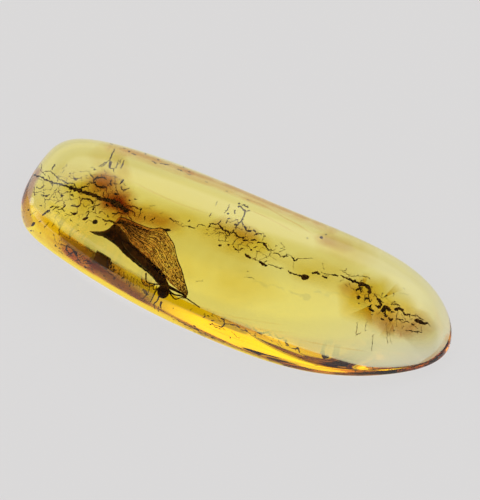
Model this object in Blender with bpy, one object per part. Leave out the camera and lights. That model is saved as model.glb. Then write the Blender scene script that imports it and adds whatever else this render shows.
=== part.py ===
"""A winged insect sealed in a polished drop of amber, with a dark crack web and a trail of debris.

The stone is parted in two, an upper and a lower piece, along the tilted flow layer that its
inclusions lie in, so that every inclusion is a solid of its own in a recess or a pocket.
X runs along the stone, Y across it and Z up from the small flat spot that it rests on.
Lengths are in millimetres until place() turns them into metres.
"""

import math

import bmesh
import bpy
import numpy as np

MM = 0.001

# The stone's outline from above: control points of a closed cubic B-spline, 28 mm by 10.6 mm
OUTLINE = [
    (10.2, 5.4), (13.3, 3.3), (14.4, 1.1), (13.2, -1.7), (8.1, -4.9), (1.9, -5.4), (-4.2, -5.0),
    (-11.2, -3.5), (-13.8, -2.3), (-14.1, 2.0), (-13.7, 4.5), (-8.1, 5.4), (-1.5, 5.3), (2.6, 5.2),
]
RIM_HEIGHT = 1.55        # height of the stone's widest line
CROWN = 2.3              # rise of the polished top above that line
KEEL = 1.64              # depth of the curved underside below it, if it weren't ground flat
CROWN_POWER = 3.1        # how squarely the top turns over into the side
KEEL_POWER = 2.8         # how squarely the side turns under
SPINE_HALF = 9.0         # half the length of the line that the rim's rays run to
TAPER = 0.6              # share of the thickness that is lost at the right end
TAPER_START = -6.0       # where along X the stone starts to thin
RIM_POINTS = 88
LOOP_POINTS = 4000       # along the outline spline, before the rim points are read off it
CROWN_RINGS = 10
CROWN_SPACING = 0.6      # below 1, it draws the crown's rings together towards the rim
KEEL_RINGS = 6
SHARP_ANGLE = 40.0       # degrees between faces, above which their edge is shaded sharp

# The flow layer that the cracks and the debris lie in, and the cut between the two amber pieces
LAYER_HEIGHT = 1.55      # at the middle of the stone
LAYER_SLOPE = -0.045     # rise for each millimetre of X
PARTING_GAP = 0.3
RECESS_HALF = 0.35       # half the height of the recess that the flat inclusions lie in
RECESS_REACH = 0.86      # how far the recess runs from the spine to the rim
BLOCK = 20.0             # half the width of the blocks that part the stone

# The insect: its body runs from the head, near the front edge, to the pointed tail
HEAD = (-2.35, -3.6, 1.68)
TAIL = (-8.25, -2.06, 1.9)
BODY_RINGS = [           # distance behind the head's middle, radius
    (-0.40, 0.06), (-0.34, 0.17), (-0.22, 0.28), (0.0, 0.35), (0.20, 0.30), (0.36, 0.17),
    (0.52, 0.30), (0.85, 0.42), (1.30, 0.40), (1.70, 0.30), (2.20, 0.38), (3.00, 0.42),
    (3.90, 0.36), (4.80, 0.24), (5.50, 0.13), (6.08, 0.03),
]
BODY_SIDES = 14
WING_THICKNESS = 0.1
FAR_WING_ROOT = [        # along the body, from the tail to the wing's tip beside the head
    (-7.75, -2.12, 1.98), (-6.4, -2.35, 2.05), (-4.8, -2.75, 2.1), (-3.2, -3.15, 2.1),
    (-2.0, -3.25, 1.95), (-1.15, -3.42, 1.75),
]
FAR_WING_MARGIN = [      # round the far side, in the same order
    (-7.5, -1.65, 2.0), (-6.6, -0.8, 2.05), (-4.7, -0.28, 2.0), (-3.1, -1.0, 1.95),
    (-1.9, -2.35, 1.85), (-1.05, -3.28, 1.72),
]
FAR_WING_CAMBER = 0.22   # bulge of the wing between its root and its margin
NEAR_WING_TOP = [(-7.95, -2.12, 2.0), (-6.6, -2.3, 2.12), (-5.1, -2.62, 2.15), (-3.5, -3.1, 2.1)]
NEAR_WING_FOOT = [(-7.6, -2.42, 1.3), (-6.4, -2.85, 1.05), (-5.0, -3.25, 0.95), (-3.4, -3.7, 1.1)]
NEAR_WING_CAMBER = 0.12
WING_STEPS = 14
WING_ROWS = 5
LIMB_SIDES = 6
LEG_RADII = (0.085, 0.06, 0.05, 0.04)
LEGS = [                 # hip, knee, ankle, foot
    [(-3.6, -3.2, 1.6), (-3.62, -3.78, 1.4), (-3.1, -4.0, 1.2), (-3.4, -4.2, 1.1)],
    [(-3.05, -3.5, 1.6), (-2.9, -4.05, 1.4), (-3.0, -4.3, 1.2), (-2.95, -4.45, 1.1)],
    [(-2.75, -3.6, 1.62), (-2.5, -4.1, 1.4), (-2.6, -4.4, 1.2), (-2.45, -4.6, 1.15)],
    [(-2.75, -3.35, 1.5), (-2.5, -2.95, 1.35), (-2.2, -2.7, 1.15), (-1.9, -2.6, 1.05)],
    [(-3.3, -3.15, 1.5), (-3.2, -2.6, 1.35), (-2.95, -2.2, 1.15), (-2.8, -1.9, 1.05)],
    [(-3.8, -3.05, 1.5), (-4.1, -2.45, 1.35), (-4.4, -2.1, 1.15), (-4.6, -1.8, 1.05)],
]
ANTENNA_RADII = (0.05, 0.04, 0.03, 0.02)
ANTENNAE = [
    [(-2.2, -3.62, 1.72), (-1.7, -3.68, 1.74), (-1.0, -3.72, 1.72), (0.05, -3.75, 1.55)],
    [(-2.2, -3.78, 1.62), (-1.75, -3.95, 1.58), (-1.4, -3.98, 1.55), (-0.95, -3.9, 1.5)],
]
POCKET_CLEARANCE = 0.3
POCKET_FLATNESS = 2.0    # degrees between faces of the pocket's hull, below which they are joined

# The crack webs: slabs of broken honeycomb, their corners moved about by a fixed seed
WEB_HALF = 0.05          # half their thickness
CELL = 0.40              # a cell's radius
CELL_WANDER = 0.11       # how far a corner strays
RIB = 0.065              # half the width of a rib
WEB_SEED = 11
LEFT_WEB = [             # its outline: it keeps clear of the insect's tail
    (-12.9, 0.4), (-11.6, -1.5), (-10.4, -2.0), (-9.2, -1.6), (-8.1, -0.6), (-7.1, 0.1),
    (-7.0, 1.1), (-8.2, 2.1), (-9.8, 2.3), (-11.6, 1.6), (-12.8, 1.2),
]
CENTRE_WEB = [
    (-2.9, 0.7), (-0.6, 0.8), (1.6, 0.7), (3.2, 1.2), (3.9, 1.9), (2.4, 2.6), (0.4, 2.9),
    (-0.5, 3.7), (-1.5, 3.4), (-1.3, 2.4), (-2.9, 1.7),
]
VEIN = [(-12.9, 0.2), (-11.8, 0.0), (-10.5, 0.1), (-9.0, 0.25), (-8.0, 0.15), (-7.2, 0.1)]
VEIN_HALF_WIDTHS = (0.06, 0.09, 0.14, 0.16, 0.15, 0.26)
VEIN_HALF = 0.08

# The debris: flat grains strung along the flow layer, each X, Y, length, width, turn in degrees
DEBRIS = [
    (3.64, 0.64, 0.34, 0.22, -20.0), (4.49, 0.80, 0.46, 0.36, 10.0), (5.49, 1.49, 0.40, 0.24, 25.0),
    (6.36, 2.02, 0.50, 0.24, 20.0), (7.70, 2.10, 0.60, 0.40, -12.0), (8.35, 1.80, 0.36, 0.28, -40.0),
    (7.93, 1.06, 0.34, 0.26, 60.0), (9.00, 0.69, 0.48, 0.32, -35.0), (9.75, 1.30, 0.50, 0.28, 5.0),
    (10.45, 1.58, 0.40, 0.26, 15.0), (10.36, 0.76, 0.36, 0.24, 30.0), (11.55, 1.50, 0.42, 0.24, 12.0),
    (12.15, 1.50, 0.52, 0.28, -12.0),
]
GRAIN_HALF = 0.1
GRAIN_WANDER = 0.16
GRAIN_SEED = 5


def paint(obj, colour, roughness, alpha=1.0, transmission=0.0):
    """Give an object its own Principled material."""
    material = bpy.data.materials.new(obj.name)
    material.use_nodes = True
    shader = material.node_tree.nodes["Principled BSDF"]
    shader.inputs["Base Color"].default_value = (*colour, 1.0)
    shader.inputs["Roughness"].default_value = roughness
    shader.inputs["Metallic"].default_value = 0.0
    shader.inputs["Alpha"].default_value = alpha
    shader.inputs["Transmission Weight"].default_value = transmission
    shader.inputs["IOR"].default_value = 1.54
    obj.data.materials.append(material)


def place(name, points, faces, smooth=True):
    """Make an object from points in millimetres, with its faces turned outwards."""
    mesh = bpy.data.meshes.new(name)
    mesh.from_pydata([tuple(float(c) * MM for c in p) for p in points], [], faces)
    edit = bmesh.new()
    edit.from_mesh(mesh)
    bmesh.ops.recalc_face_normals(edit, faces=edit.faces)
    edit.to_mesh(mesh)
    edit.free()
    if smooth:
        mesh.shade_smooth()
        mesh.set_sharp_from_angle(angle=math.radians(SHARP_ANGLE))
    obj = bpy.data.objects.new(name, mesh)
    bpy.context.collection.objects.link(obj)
    return obj


def guide(obj):
    """Mark an object as a cutter: it shapes its neighbours and isn't a piece."""
    obj.hide_render = True
    obj.display_type = 'WIRE'
    return obj


def combine(obj, tool, operation):
    """Cut or join one object with another by an exact Boolean."""
    step = obj.modifiers.new(operation.title(), 'BOOLEAN')
    step.operation = operation
    step.solver = 'EXACT'
    step.object = tool


def layer_height(x):
    return LAYER_HEIGHT + LAYER_SLOPE * x


def closed_spline(points, count):
    """Points of a closed uniform cubic B-spline."""
    corners = np.array(points, dtype=float)
    along = np.linspace(0, len(corners), count, endpoint=False)
    start = np.floor(along).astype(int)
    t = (along - start)[:, None]
    weights = [(1 - t) ** 3, 3 * t ** 3 - 6 * t ** 2 + 4, -3 * t ** 3 + 3 * t ** 2 + 3 * t + 1, t ** 3]
    return sum(w * corners[(start + i - 1) % len(corners)] for i, w in enumerate(weights)) / 6


def open_curve(points, count):
    """Points of a smooth curve through the given ones, a Catmull-Rom spline."""
    p = np.array(points, dtype=float)
    p = np.vstack([2 * p[0] - p[1], p, 2 * p[-1] - p[-2]])
    along = np.linspace(0, len(p) - 3, count)
    start = np.minimum(along.astype(int), len(p) - 4)
    t = (along - start)[:, None]
    a, b, c, d = (p[start + i] for i in range(4))
    return b + t / 2 * (c - a + t * (2 * a - 5 * b + 4 * c - d + t * (3 * (b - c) + d - a)))


def rim():
    """The widest line: rim points spaced as a circle's are along X, far side first, and the spine."""
    loop = closed_spline(OUTLINE, LOOP_POINTS)
    loop = np.roll(loop, -loop[:, 0].argmax(), axis=0)
    left = loop[:, 0].argmin()
    far = loop[:left + 1][::-1]
    near = np.vstack([loop[left:], loop[:1]])
    middle, reach = (loop[0, 0] + loop[left, 0]) / 2, (loop[0, 0] - loop[left, 0]) / 2
    half = RIM_POINTS // 2
    x = middle + reach * np.cos(np.linspace(0, math.pi, half + 1))
    y_far = np.interp(x, far[:, 0], far[:, 1])
    y_near = np.interp(x, near[:, 0], near[:, 1])
    spine_x = SPINE_HALF * np.sin(math.pi / 2 * (x - middle) / reach)
    spine_y = np.interp(spine_x, x[::-1], (y_far + y_near)[::-1] / 2)
    around = np.concatenate([np.arange(half + 1), np.arange(half - 1, 0, -1)])
    y = np.concatenate([y_far, y_near[-2:0:-1]])
    return np.stack([x[around], y], 1), np.stack([spine_x, spine_y], 1)[around], reach


def thickness_share(x, reach):
    return 1 - TAPER * np.clip((x - TAPER_START) / (reach - TAPER_START), 0, 1) ** 2


def stone_solid(name):
    """The whole drop: superellipse rings from the flat spot out to the rim, and from it to the spine."""
    edge, spine, reach = rim()
    half = RIM_POINTS // 2
    # The share of the way out to the rim at which the underside leaves the floor
    flat_share = (1 - (RIM_HEIGHT / KEEL) ** KEEL_POWER) ** (1 / KEEL_POWER)
    rings = []
    for turn in np.linspace(0, math.pi / 2, KEEL_RINGS, endpoint=False):
        u = flat_share + (1 - flat_share) * math.sin(turn)
        depth = KEEL * (1 - u ** KEEL_POWER) ** (1 / KEEL_POWER)
        rings.append((u, max(RIM_HEIGHT - depth, 0.0)))
    rings.append((1.0, RIM_HEIGHT))
    for turn in np.linspace(0, math.pi / 2, CROWN_RINGS, endpoint=False)[1:]:
        u = math.cos(turn) ** CROWN_SPACING
        rings.append((u, RIM_HEIGHT + CROWN * (1 - u ** CROWN_POWER) ** (1 / CROWN_POWER)))
    points = []
    for u, height in rings:
        flat = spine + u * (edge - spine)
        points.extend(np.column_stack([flat, height * thickness_share(flat[:, 0], reach)]))
    levels = [list(range(n * RIM_POINTS, (n + 1) * RIM_POINTS)) for n in range(len(rings))]
    # The far and near sides of the last ring meet along the spine
    top = len(points)
    ridge = spine[:half + 1]
    points.extend(np.column_stack([ridge, (RIM_HEIGHT + CROWN) * thickness_share(ridge[:, 0], reach)]))
    levels.append([top + k for k in [*range(half + 1), *range(half - 1, 0, -1)]])
    faces = [tuple(reversed(levels[0]))]
    for low, high in zip(levels, levels[1:]):
        for k in range(RIM_POINTS):
            faces.append(tuple(dict.fromkeys([low[k - 1], low[k], high[k], high[k - 1]])))
    return place(name, points, faces)


def prism(name, outline, low, high):
    """A prism that follows the flow layer's tilt, from one height off the layer to another."""
    n = len(outline)
    points = [(x, y, layer_height(x) + h) for h in (low, high) for x, y in outline]
    sides = [(k, (k + 1) % n, n + (k + 1) % n, n + k) for k in range(n)]
    return place(name, points, [tuple(range(n))[::-1], tuple(range(n, 2 * n)), *sides], smooth=False)


def tube(path, radii, sides):
    """Points and faces of a tube along a path, with a flat cap at each end."""
    path = np.array(path, dtype=float)
    heading = np.gradient(path, axis=0)
    heading /= np.linalg.norm(heading, axis=1)[:, None]
    across = np.cross(heading, (0.0, 0.0, 1.0))
    across /= np.linalg.norm(across, axis=1)[:, None]
    upward = np.cross(across, heading)
    turn = np.linspace(0, 2 * math.pi, sides, endpoint=False)
    radii = np.array(radii, dtype=float)[:, None, None]
    c, s = np.cos(turn)[None, :, None], np.sin(turn)[None, :, None]
    points = (path[:, None] + radii * (c * across[:, None] + s * upward[:, None])).reshape(-1, 3)
    faces = [tuple(range(sides)), tuple(range(len(points) - sides, len(points)))[::-1]]
    for row in range(len(path) - 1):
        a, b = row * sides, (row + 1) * sides
        faces += [(a + k, a + (k + 1) % sides, b + (k + 1) % sides, b + k) for k in range(sides)]
    return points, faces


def sheet(root, margin, camber):
    """A wing: a thin cambered plate between its root and its margin."""
    a = open_curve(root, WING_STEPS)
    b = open_curve(margin, WING_STEPS)
    t = np.linspace(0, 1, WING_ROWS)[:, None, None]
    grid = a + t * (b - a)
    along = np.sin(np.linspace(0, math.pi, WING_STEPS))
    grid[..., 2] += camber * np.sin(math.pi * t[..., 0]) * along
    # The plate is thickened square to its own middle
    normal = np.cross(a[-1] - a[0], b[WING_STEPS // 2] - a[WING_STEPS // 2])
    normal *= WING_THICKNESS / 2 / np.linalg.norm(normal)
    points = np.concatenate([(grid + normal).reshape(-1, 3), (grid - normal).reshape(-1, 3)])
    layer = WING_ROWS * WING_STEPS

    def index(row, step):
        return row * WING_STEPS + step

    faces = []
    for row in range(WING_ROWS - 1):
        for step in range(WING_STEPS - 1):
            quad = [index(row, step), index(row, step + 1), index(row + 1, step + 1), index(row + 1, step)]
            faces += [tuple(quad), tuple(layer + i for i in reversed(quad))]
    border = [index(0, s) for s in range(WING_STEPS)]
    border += [index(r, WING_STEPS - 1) for r in range(1, WING_ROWS)]
    border += [index(WING_ROWS - 1, s) for s in range(WING_STEPS - 2, -1, -1)]
    border += [index(r, 0) for r in range(WING_ROWS - 2, 0, -1)]
    for i, j in zip(border, border[1:] + border[:1]):
        faces.append((j, i, layer + i, layer + j))
    return points, faces


def insect():
    """The body, with its wings, legs and antennae joined to it in one grown piece."""
    head, tail = np.array(HEAD), np.array(TAIL)
    backwards = (tail - head) / np.linalg.norm(tail - head)
    path = [head + backwards * behind for behind, _radius in BODY_RINGS]
    radii = [radius for _behind, radius in BODY_RINGS]
    body = place("insect", *tube(path, radii, BODY_SIDES))
    for name, shape in {
        "far_wing": sheet(FAR_WING_ROOT, FAR_WING_MARGIN, FAR_WING_CAMBER),
        "near_wing": sheet(NEAR_WING_TOP, NEAR_WING_FOOT, NEAR_WING_CAMBER),
    }.items():
        combine(body, guide(place(name, *shape)), 'UNION')
    limbs = [(f"leg_{i + 1}", leg, LEG_RADII) for i, leg in enumerate(LEGS)]
    limbs += [(f"antenna_{i + 1}", feeler, ANTENNA_RADII) for i, feeler in enumerate(ANTENNAE)]
    for name, path, radii in limbs:
        combine(body, guide(place(name, *tube(path, radii, LIMB_SIDES))), 'UNION')
    paint(body, (0.05, 0.022, 0.008), 0.5)
    return body


def insect_points():
    """Every point that the pocket has to clear."""
    paths = [*LEGS, *ANTENNAE, FAR_WING_ROOT, FAR_WING_MARGIN, NEAR_WING_TOP, NEAR_WING_FOOT]
    for path in paths:
        for point in path:
            yield np.array(point), WING_THICKNESS
    head, tail = np.array(HEAD), np.array(TAIL)
    backwards = (tail - head) / np.linalg.norm(tail - head)
    for behind, radius in BODY_RINGS:
        yield head + backwards * behind, radius


def insect_pocket():
    """The hollow round the insect: the convex hull of its points, each grown by the clearance."""
    edit = bmesh.new()
    for centre, radius in insect_points():
        grow = radius + POCKET_CLEARANCE
        for step in np.ndindex(3, 3, 3):
            toward = np.array(step) - 1.0
            if toward.any():
                spot = centre + grow * toward / np.linalg.norm(toward)
                edit.verts.new(spot * MM)
    hull = bmesh.ops.convex_hull(edit, input=edit.verts)
    loose = {e for e in hull["geom_interior"] + hull["geom_unused"] if isinstance(e, bmesh.types.BMVert)}
    bmesh.ops.delete(edit, geom=list(loose), context='VERTS')
    flatness = math.radians(POCKET_FLATNESS)
    bmesh.ops.dissolve_limit(edit, angle_limit=flatness, verts=edit.verts, edges=edit.edges)
    bmesh.ops.recalc_face_normals(edit, faces=edit.faces)
    mesh = bpy.data.meshes.new("insect_pocket")
    edit.to_mesh(mesh)
    edit.free()
    obj = bpy.data.objects.new("insect_pocket", mesh)
    bpy.context.collection.objects.link(obj)
    return guide(obj)


def amber_pieces(pocket):
    """The upper and lower amber, each cut back from the flow layer and hollowed for the inclusions."""
    square = [(-BLOCK, -BLOCK), (BLOCK, -BLOCK), (BLOCK, BLOCK), (-BLOCK, BLOCK)]
    edge, spine, _reach = rim()
    inner = spine + RECESS_REACH * (edge - spine)
    recess = guide(prism("layer_recess", [tuple(p) for p in inner[::2]], -RECESS_HALF, RECESS_HALF))
    sides = {"amber_upper": (-BLOCK, PARTING_GAP / 2), "amber_lower": (-PARTING_GAP / 2, BLOCK)}
    for name, (low, high) in sides.items():
        amber = stone_solid(name)
        combine(amber, guide(prism(name + "_cut", square, low, high)), 'DIFFERENCE')
        combine(amber, recess, 'DIFFERENCE')
        combine(amber, pocket, 'DIFFERENCE')
        paint(amber, (0.95, 0.72, 0.10), 0.05, alpha=0.45, transmission=1.0)


def inside(outline, x, y):
    """Whether a point lies in a polygon."""
    crossings = 0
    for (ax, ay), (bx, by) in zip(outline, outline[1:] + outline[:1]):
        if (ay > y) != (by > y) and x < ax + (y - ay) / (by - ay) * (bx - ax):
            crossings += 1
    return crossings % 2 == 1


def crack_web(name, outline, seed):
    """A slab of honeycomb cells, each a ring of ribs round a hole, that share their wandering corners."""
    random = np.random.default_rng(seed)
    xs, ys = [p[0] for p in outline], [p[1] for p in outline]
    step_x, step_y = CELL * math.sqrt(3), CELL * 1.5
    corners, points, faces, edge_use = {}, [], [], {}

    def add(x, y):
        points.append((x, y, layer_height(x) + WEB_HALF))
        points.append((x, y, layer_height(x) - WEB_HALF))
        return len(points) - 2

    def corner(x, y):
        key = (round(x, 3), round(y, 3))
        if key not in corners:
            dx, dy = random.uniform(-CELL_WANDER, CELL_WANDER, 2)
            corners[key] = (add(x + dx, y + dy), x + dx, y + dy)
        return corners[key]

    for row in range(int((max(ys) - min(ys)) / step_y) + 2):
        for column in range(int((max(xs) - min(xs)) / step_x) + 2):
            x = min(xs) + step_x * (column + (row % 2) / 2)
            y = min(ys) + step_y * row
            if not inside(outline, x, y):
                continue
            turns = [math.radians(30 + 60 * k) for k in range(6)]
            outer = [corner(x + CELL * math.cos(t), y + CELL * math.sin(t)) for t in turns]
            cx, cy = np.mean([c[1:] for c in outer], axis=0)
            inner = []
            for _index, px, py in outer:
                shrink = 1 - RIB / (math.cos(math.radians(30)) * math.hypot(px - cx, py - cy))
                inner.append(add(cx + shrink * (px - cx), cy + shrink * (py - cy)))
            for k in range(6):
                a, b = outer[k][0], outer[(k + 1) % 6][0]
                c, d = inner[(k + 1) % 6], inner[k]
                faces += [(a, b, c, d), (d + 1, c + 1, b + 1, a + 1), (d, c, c + 1, d + 1)]
                edge_use.setdefault(tuple(sorted((a, b))), []).append((a, b))
    for uses in edge_use.values():
        if len(uses) == 1:
            a, b = uses[0]
            faces.append((b, a, a + 1, b + 1))
    return place(name, points, faces, smooth=False)


def dark_vein():
    """The thick vein that the left web's cracks branch from, a flat ribbon that ends in a knot."""
    middle = np.array(VEIN)
    heading = np.gradient(middle, axis=0)
    across = np.column_stack([-heading[:, 1], heading[:, 0]]) / np.linalg.norm(heading, axis=1)[:, None]
    half = np.array(VEIN_HALF_WIDTHS)[:, None]
    outline = np.vstack([middle - half * across, (middle + half * across)[::-1]])
    return guide(prism("vein_ribbon", [tuple(p) for p in outline], -VEIN_HALF, VEIN_HALF))


def debris_grain(name, x, y, length, width, turn, random):
    """A flat lump of debris: an icosphere, roughened by a fixed seed and pressed into the layer."""
    edit = bmesh.new()
    bmesh.ops.create_icosphere(edit, subdivisions=1, radius=1.0)
    bmesh.ops.subdivide_edges(edit, edges=edit.edges, cuts=1, use_grid_fill=True)
    c, s = math.cos(math.radians(turn)), math.sin(math.radians(turn))
    points = []
    for vertex in edit.verts:
        p = np.array(vertex.co.normalized()) * (1 + random.uniform(-GRAIN_WANDER, GRAIN_WANDER))
        u, v, w = p[0] * length / 2, p[1] * width / 2, min(1.0, max(-1.0, p[2])) * GRAIN_HALF
        px, py = x + c * u - s * v, y + s * u + c * v
        points.append((px, py, layer_height(px) + w))
    edit.verts.ensure_lookup_table()
    faces = [tuple(v.index for v in face.verts) for face in edit.faces]
    edit.free()
    return place(name, points, faces)


def build():
    for obj in list(bpy.data.objects):
        bpy.data.objects.remove(obj)
    insect()
    amber_pieces(insect_pocket())
    left = crack_web("left_crack_web", LEFT_WEB, WEB_SEED)
    combine(left, dark_vein(), 'UNION')
    paint(left, (0.06, 0.03, 0.01), 0.6)
    centre = crack_web("centre_crack_web", CENTRE_WEB, WEB_SEED + 1)
    paint(centre, (0.08, 0.04, 0.015), 0.6)
    random = np.random.default_rng(GRAIN_SEED)
    for number, grain in enumerate(DEBRIS, start=1):
        paint(debris_grain(f"debris_{number}", *grain, random), (0.04, 0.02, 0.008), 0.7)


build()
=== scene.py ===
"""The looks of a winged insect sealed in a polished drop of amber.

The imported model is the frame. Lengths here are in millimetres, in the model's own axes: X along the
stone, Y across it, Z up from the flat spot that it rests on. What is sealed in the stone is placed by
the pixel of the photograph that it shows at: a ray through that pixel is bent at the polished surface
and followed down to the height at which the piece lies.
"""

import math

import bmesh
import bpy
import numpy as np
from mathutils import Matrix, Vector
from mathutils.bvhtree import BVHTree
from mathutils.geometry import delaunay_2d_cdt


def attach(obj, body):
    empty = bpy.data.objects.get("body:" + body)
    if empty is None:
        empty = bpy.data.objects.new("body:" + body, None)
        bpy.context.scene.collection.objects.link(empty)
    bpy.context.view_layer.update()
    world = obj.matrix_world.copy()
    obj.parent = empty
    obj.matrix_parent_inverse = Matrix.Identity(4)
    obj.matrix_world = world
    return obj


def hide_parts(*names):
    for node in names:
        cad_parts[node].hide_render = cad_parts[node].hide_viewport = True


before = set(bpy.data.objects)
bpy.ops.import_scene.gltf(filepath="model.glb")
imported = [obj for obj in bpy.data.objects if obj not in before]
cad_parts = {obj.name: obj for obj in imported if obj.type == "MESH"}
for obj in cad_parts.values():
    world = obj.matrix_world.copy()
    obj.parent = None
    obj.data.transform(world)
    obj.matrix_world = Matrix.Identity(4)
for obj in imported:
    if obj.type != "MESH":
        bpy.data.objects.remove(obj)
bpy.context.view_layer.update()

MM = 0.001
MERGE_DISTANCE = 1e-7        # points nearer than this, in metres, are made one

# The stone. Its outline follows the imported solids, drawn in a little on the near side at the right. Its
# rim lies lower than theirs, and its shoulders vary round it.
OUTLINE = [
    (10.2, 5.4), (13.3, 3.3), (14.4, 1.1), (13.2, -1.3), (8.1, -4.5), (1.9, -5.2), (-4.2, -5.0),
    (-11.2, -3.5), (-13.8, -2.3), (-14.1, 2.0), (-13.7, 4.5), (-8.1, 5.4), (-1.5, 5.3), (2.6, 5.2),
]
RIM_HEIGHT = 1.28
CROWN, KEEL = 2.57, 1.35     # its rise above the rim, and its depth below it before it is cut flat
# How square the stone's shoulders are at places along X: below the rim, above it on the far side and
# above it on the near side
POWER_AT = [-14.0, -4.0, 3.0, 7.0, 10.0, 14.0]
LOW_POWER = [2.8, 2.8, 3.4, 6.0, 9.0, 9.0]
FAR_POWER = [2.4, 2.5, 2.9, 3.6, 3.6, 2.6]
NEAR_POWER = [2.6, 2.8, 3.2, 2.2, 1.3, 1.2]
SPINE_HALF = 9.0             # half the length of the line that the stone's rings shrink to
TAPER, TAPER_START = 0.6, -6.0   # the share of its height that the thin end loses, and where that starts
LAYER_HEIGHT, LAYER_SLOPE = 1.55, -0.045   # the flow layer at the middle, and its rise for each mm of X
AMBER_IOR = 1.54
AMBER_COLOUR, AMBER_DENSITY = (0.994, 0.922, 0.081, 1), 450.0

# The camera, set to the photograph's frame of 480 by 500 pixels. Azimuths here are degrees from -Y, round
# by +X, and elevations are degrees up.
FRAME_WIDTH, FRAME_HEIGHT = 480, 500
CAMERA_AZIMUTH, CAMERA_ELEVATION = 27.5, 50.0
CAMERA_DISTANCE = 300.0
CAMERA_TARGET = np.array([0.128, 1.015, 2.0])
PIXELS_PER_MM = 16.62
SENSOR = 36.0
# How often light may bend or mirror before it is given up, and pass a fully transparent surface
BOUNCES, SEE_THROUGH = 24, 48

# The sky: its even light, what the bright band adds, and the share that its dark places take away
SKY, BACK, DARK = 1.0, 1.1, 0.97
END_LIGHT, SIDE_LIGHT = 2.5, 1.2     # what the two small bright patches add
# Soft patches of sky: azimuth, elevation, and the cosines at which each starts and is full
BEHIND = (202, 42, 0.82, 0.94)       # where the bright band lies, behind the stone
END_PATCH = (275, 12, 0.985, 0.996)  # bright, low beyond the blunt end
SIDE_PATCH = (307, 11, 0.93, 0.965)  # bright, low to the left before the near side
GAP = (255, 50, 0.965, 0.988)        # a bright gap in the dark sky overhead
BEFORE = (333, 38, 0.94, 0.985)      # dark, before the near side
LOW_BEFORE = (328, 20, 0.90, 0.96)   # dark, lower before the near side
# Heights on the unit sphere between which the band starts and ends, and the dark overhead starts
BAND_FOOT, BAND_TOP, OVERHEAD = (0.46, 0.56), (0.68, 0.76), (0.70, 0.78)

# The floor: how far it lies below the stone, half its side, its tone, and the light and colour it gives
FLOOR_DEPTH, FLOOR_HALF = 0.02, 2000.0
FLOOR_ALBEDO, FLOOR_LIGHT, FLOOR_COLOUR = 0.1, 0.645, (1, 0.985, 0.985)
# Painted caustic: the floor glows in a strip behind the stone, where the stone would gather light; it fades
# in and out between these places along Y and X
PAINTED_CAUSTIC, PAINTED_CAUSTIC_COLOUR = 1.0, (1, 0.88, 0.50)
STRIP_NEAR, STRIP_FAR, STRIP_LEFT, STRIP_RIGHT = (4.9, 5.2), (5.8, 6.45), (-5.6, -2.6), (3.5, 9.0)
# Painted light under the stone: a little glow on the floor fills a superellipse of these half axes
PAINTED_UNDER_LIGHT, UNDER_X, UNDER_Y, UNDER_POWER = 0.06, 12.5, 4.8, 2.5

# Dull materials: the darkest and the lightest colour of each
DARK_STAIN = (0.028, 0.009, 0.002), (0.11, 0.038, 0.006)
BROWN_STAIN = (0.07, 0.024, 0.004), (0.26, 0.10, 0.012)
RED_STAIN = (0.12, 0.022, 0.005), (0.32, 0.075, 0.014)
CHITIN = (0.03, 0.009, 0.002), (0.10, 0.032, 0.006)
SCALE = (0.10, 0.030, 0.004), (0.50, 0.22, 0.03)
# The near wing's dark membrane, and the gold of the painted glints on its ribs
NEAR_MEMBRANE, PAINTED_RIB_GLINT = ((0.024, 0.007, 0.001), (0.085, 0.027, 0.004)), (0.42, 0.16, 0.02)
FAR_MEMBRANE = (0.86, 0.56, 0.28), (0.97, 0.79, 0.46)
WING_ROOT, WING_GRAIN = (0.74, 0.36, 0.23), (0.34, 0.15, 0.07)
# Clear films: the colour that each gives to the light through it, and the scale of its clouds
TINTS = {
    "rust": ((0.66, 0.36, 0.15), 500.0), "honey": ((0.86, 0.73, 0.24), 380.0),
    "peach": ((0.90, 0.73, 0.55), 900.0), "rose": ((0.64, 0.46, 0.95), 700.0),
    "tan": ((0.84, 0.71, 0.60), 900.0),
}

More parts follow.
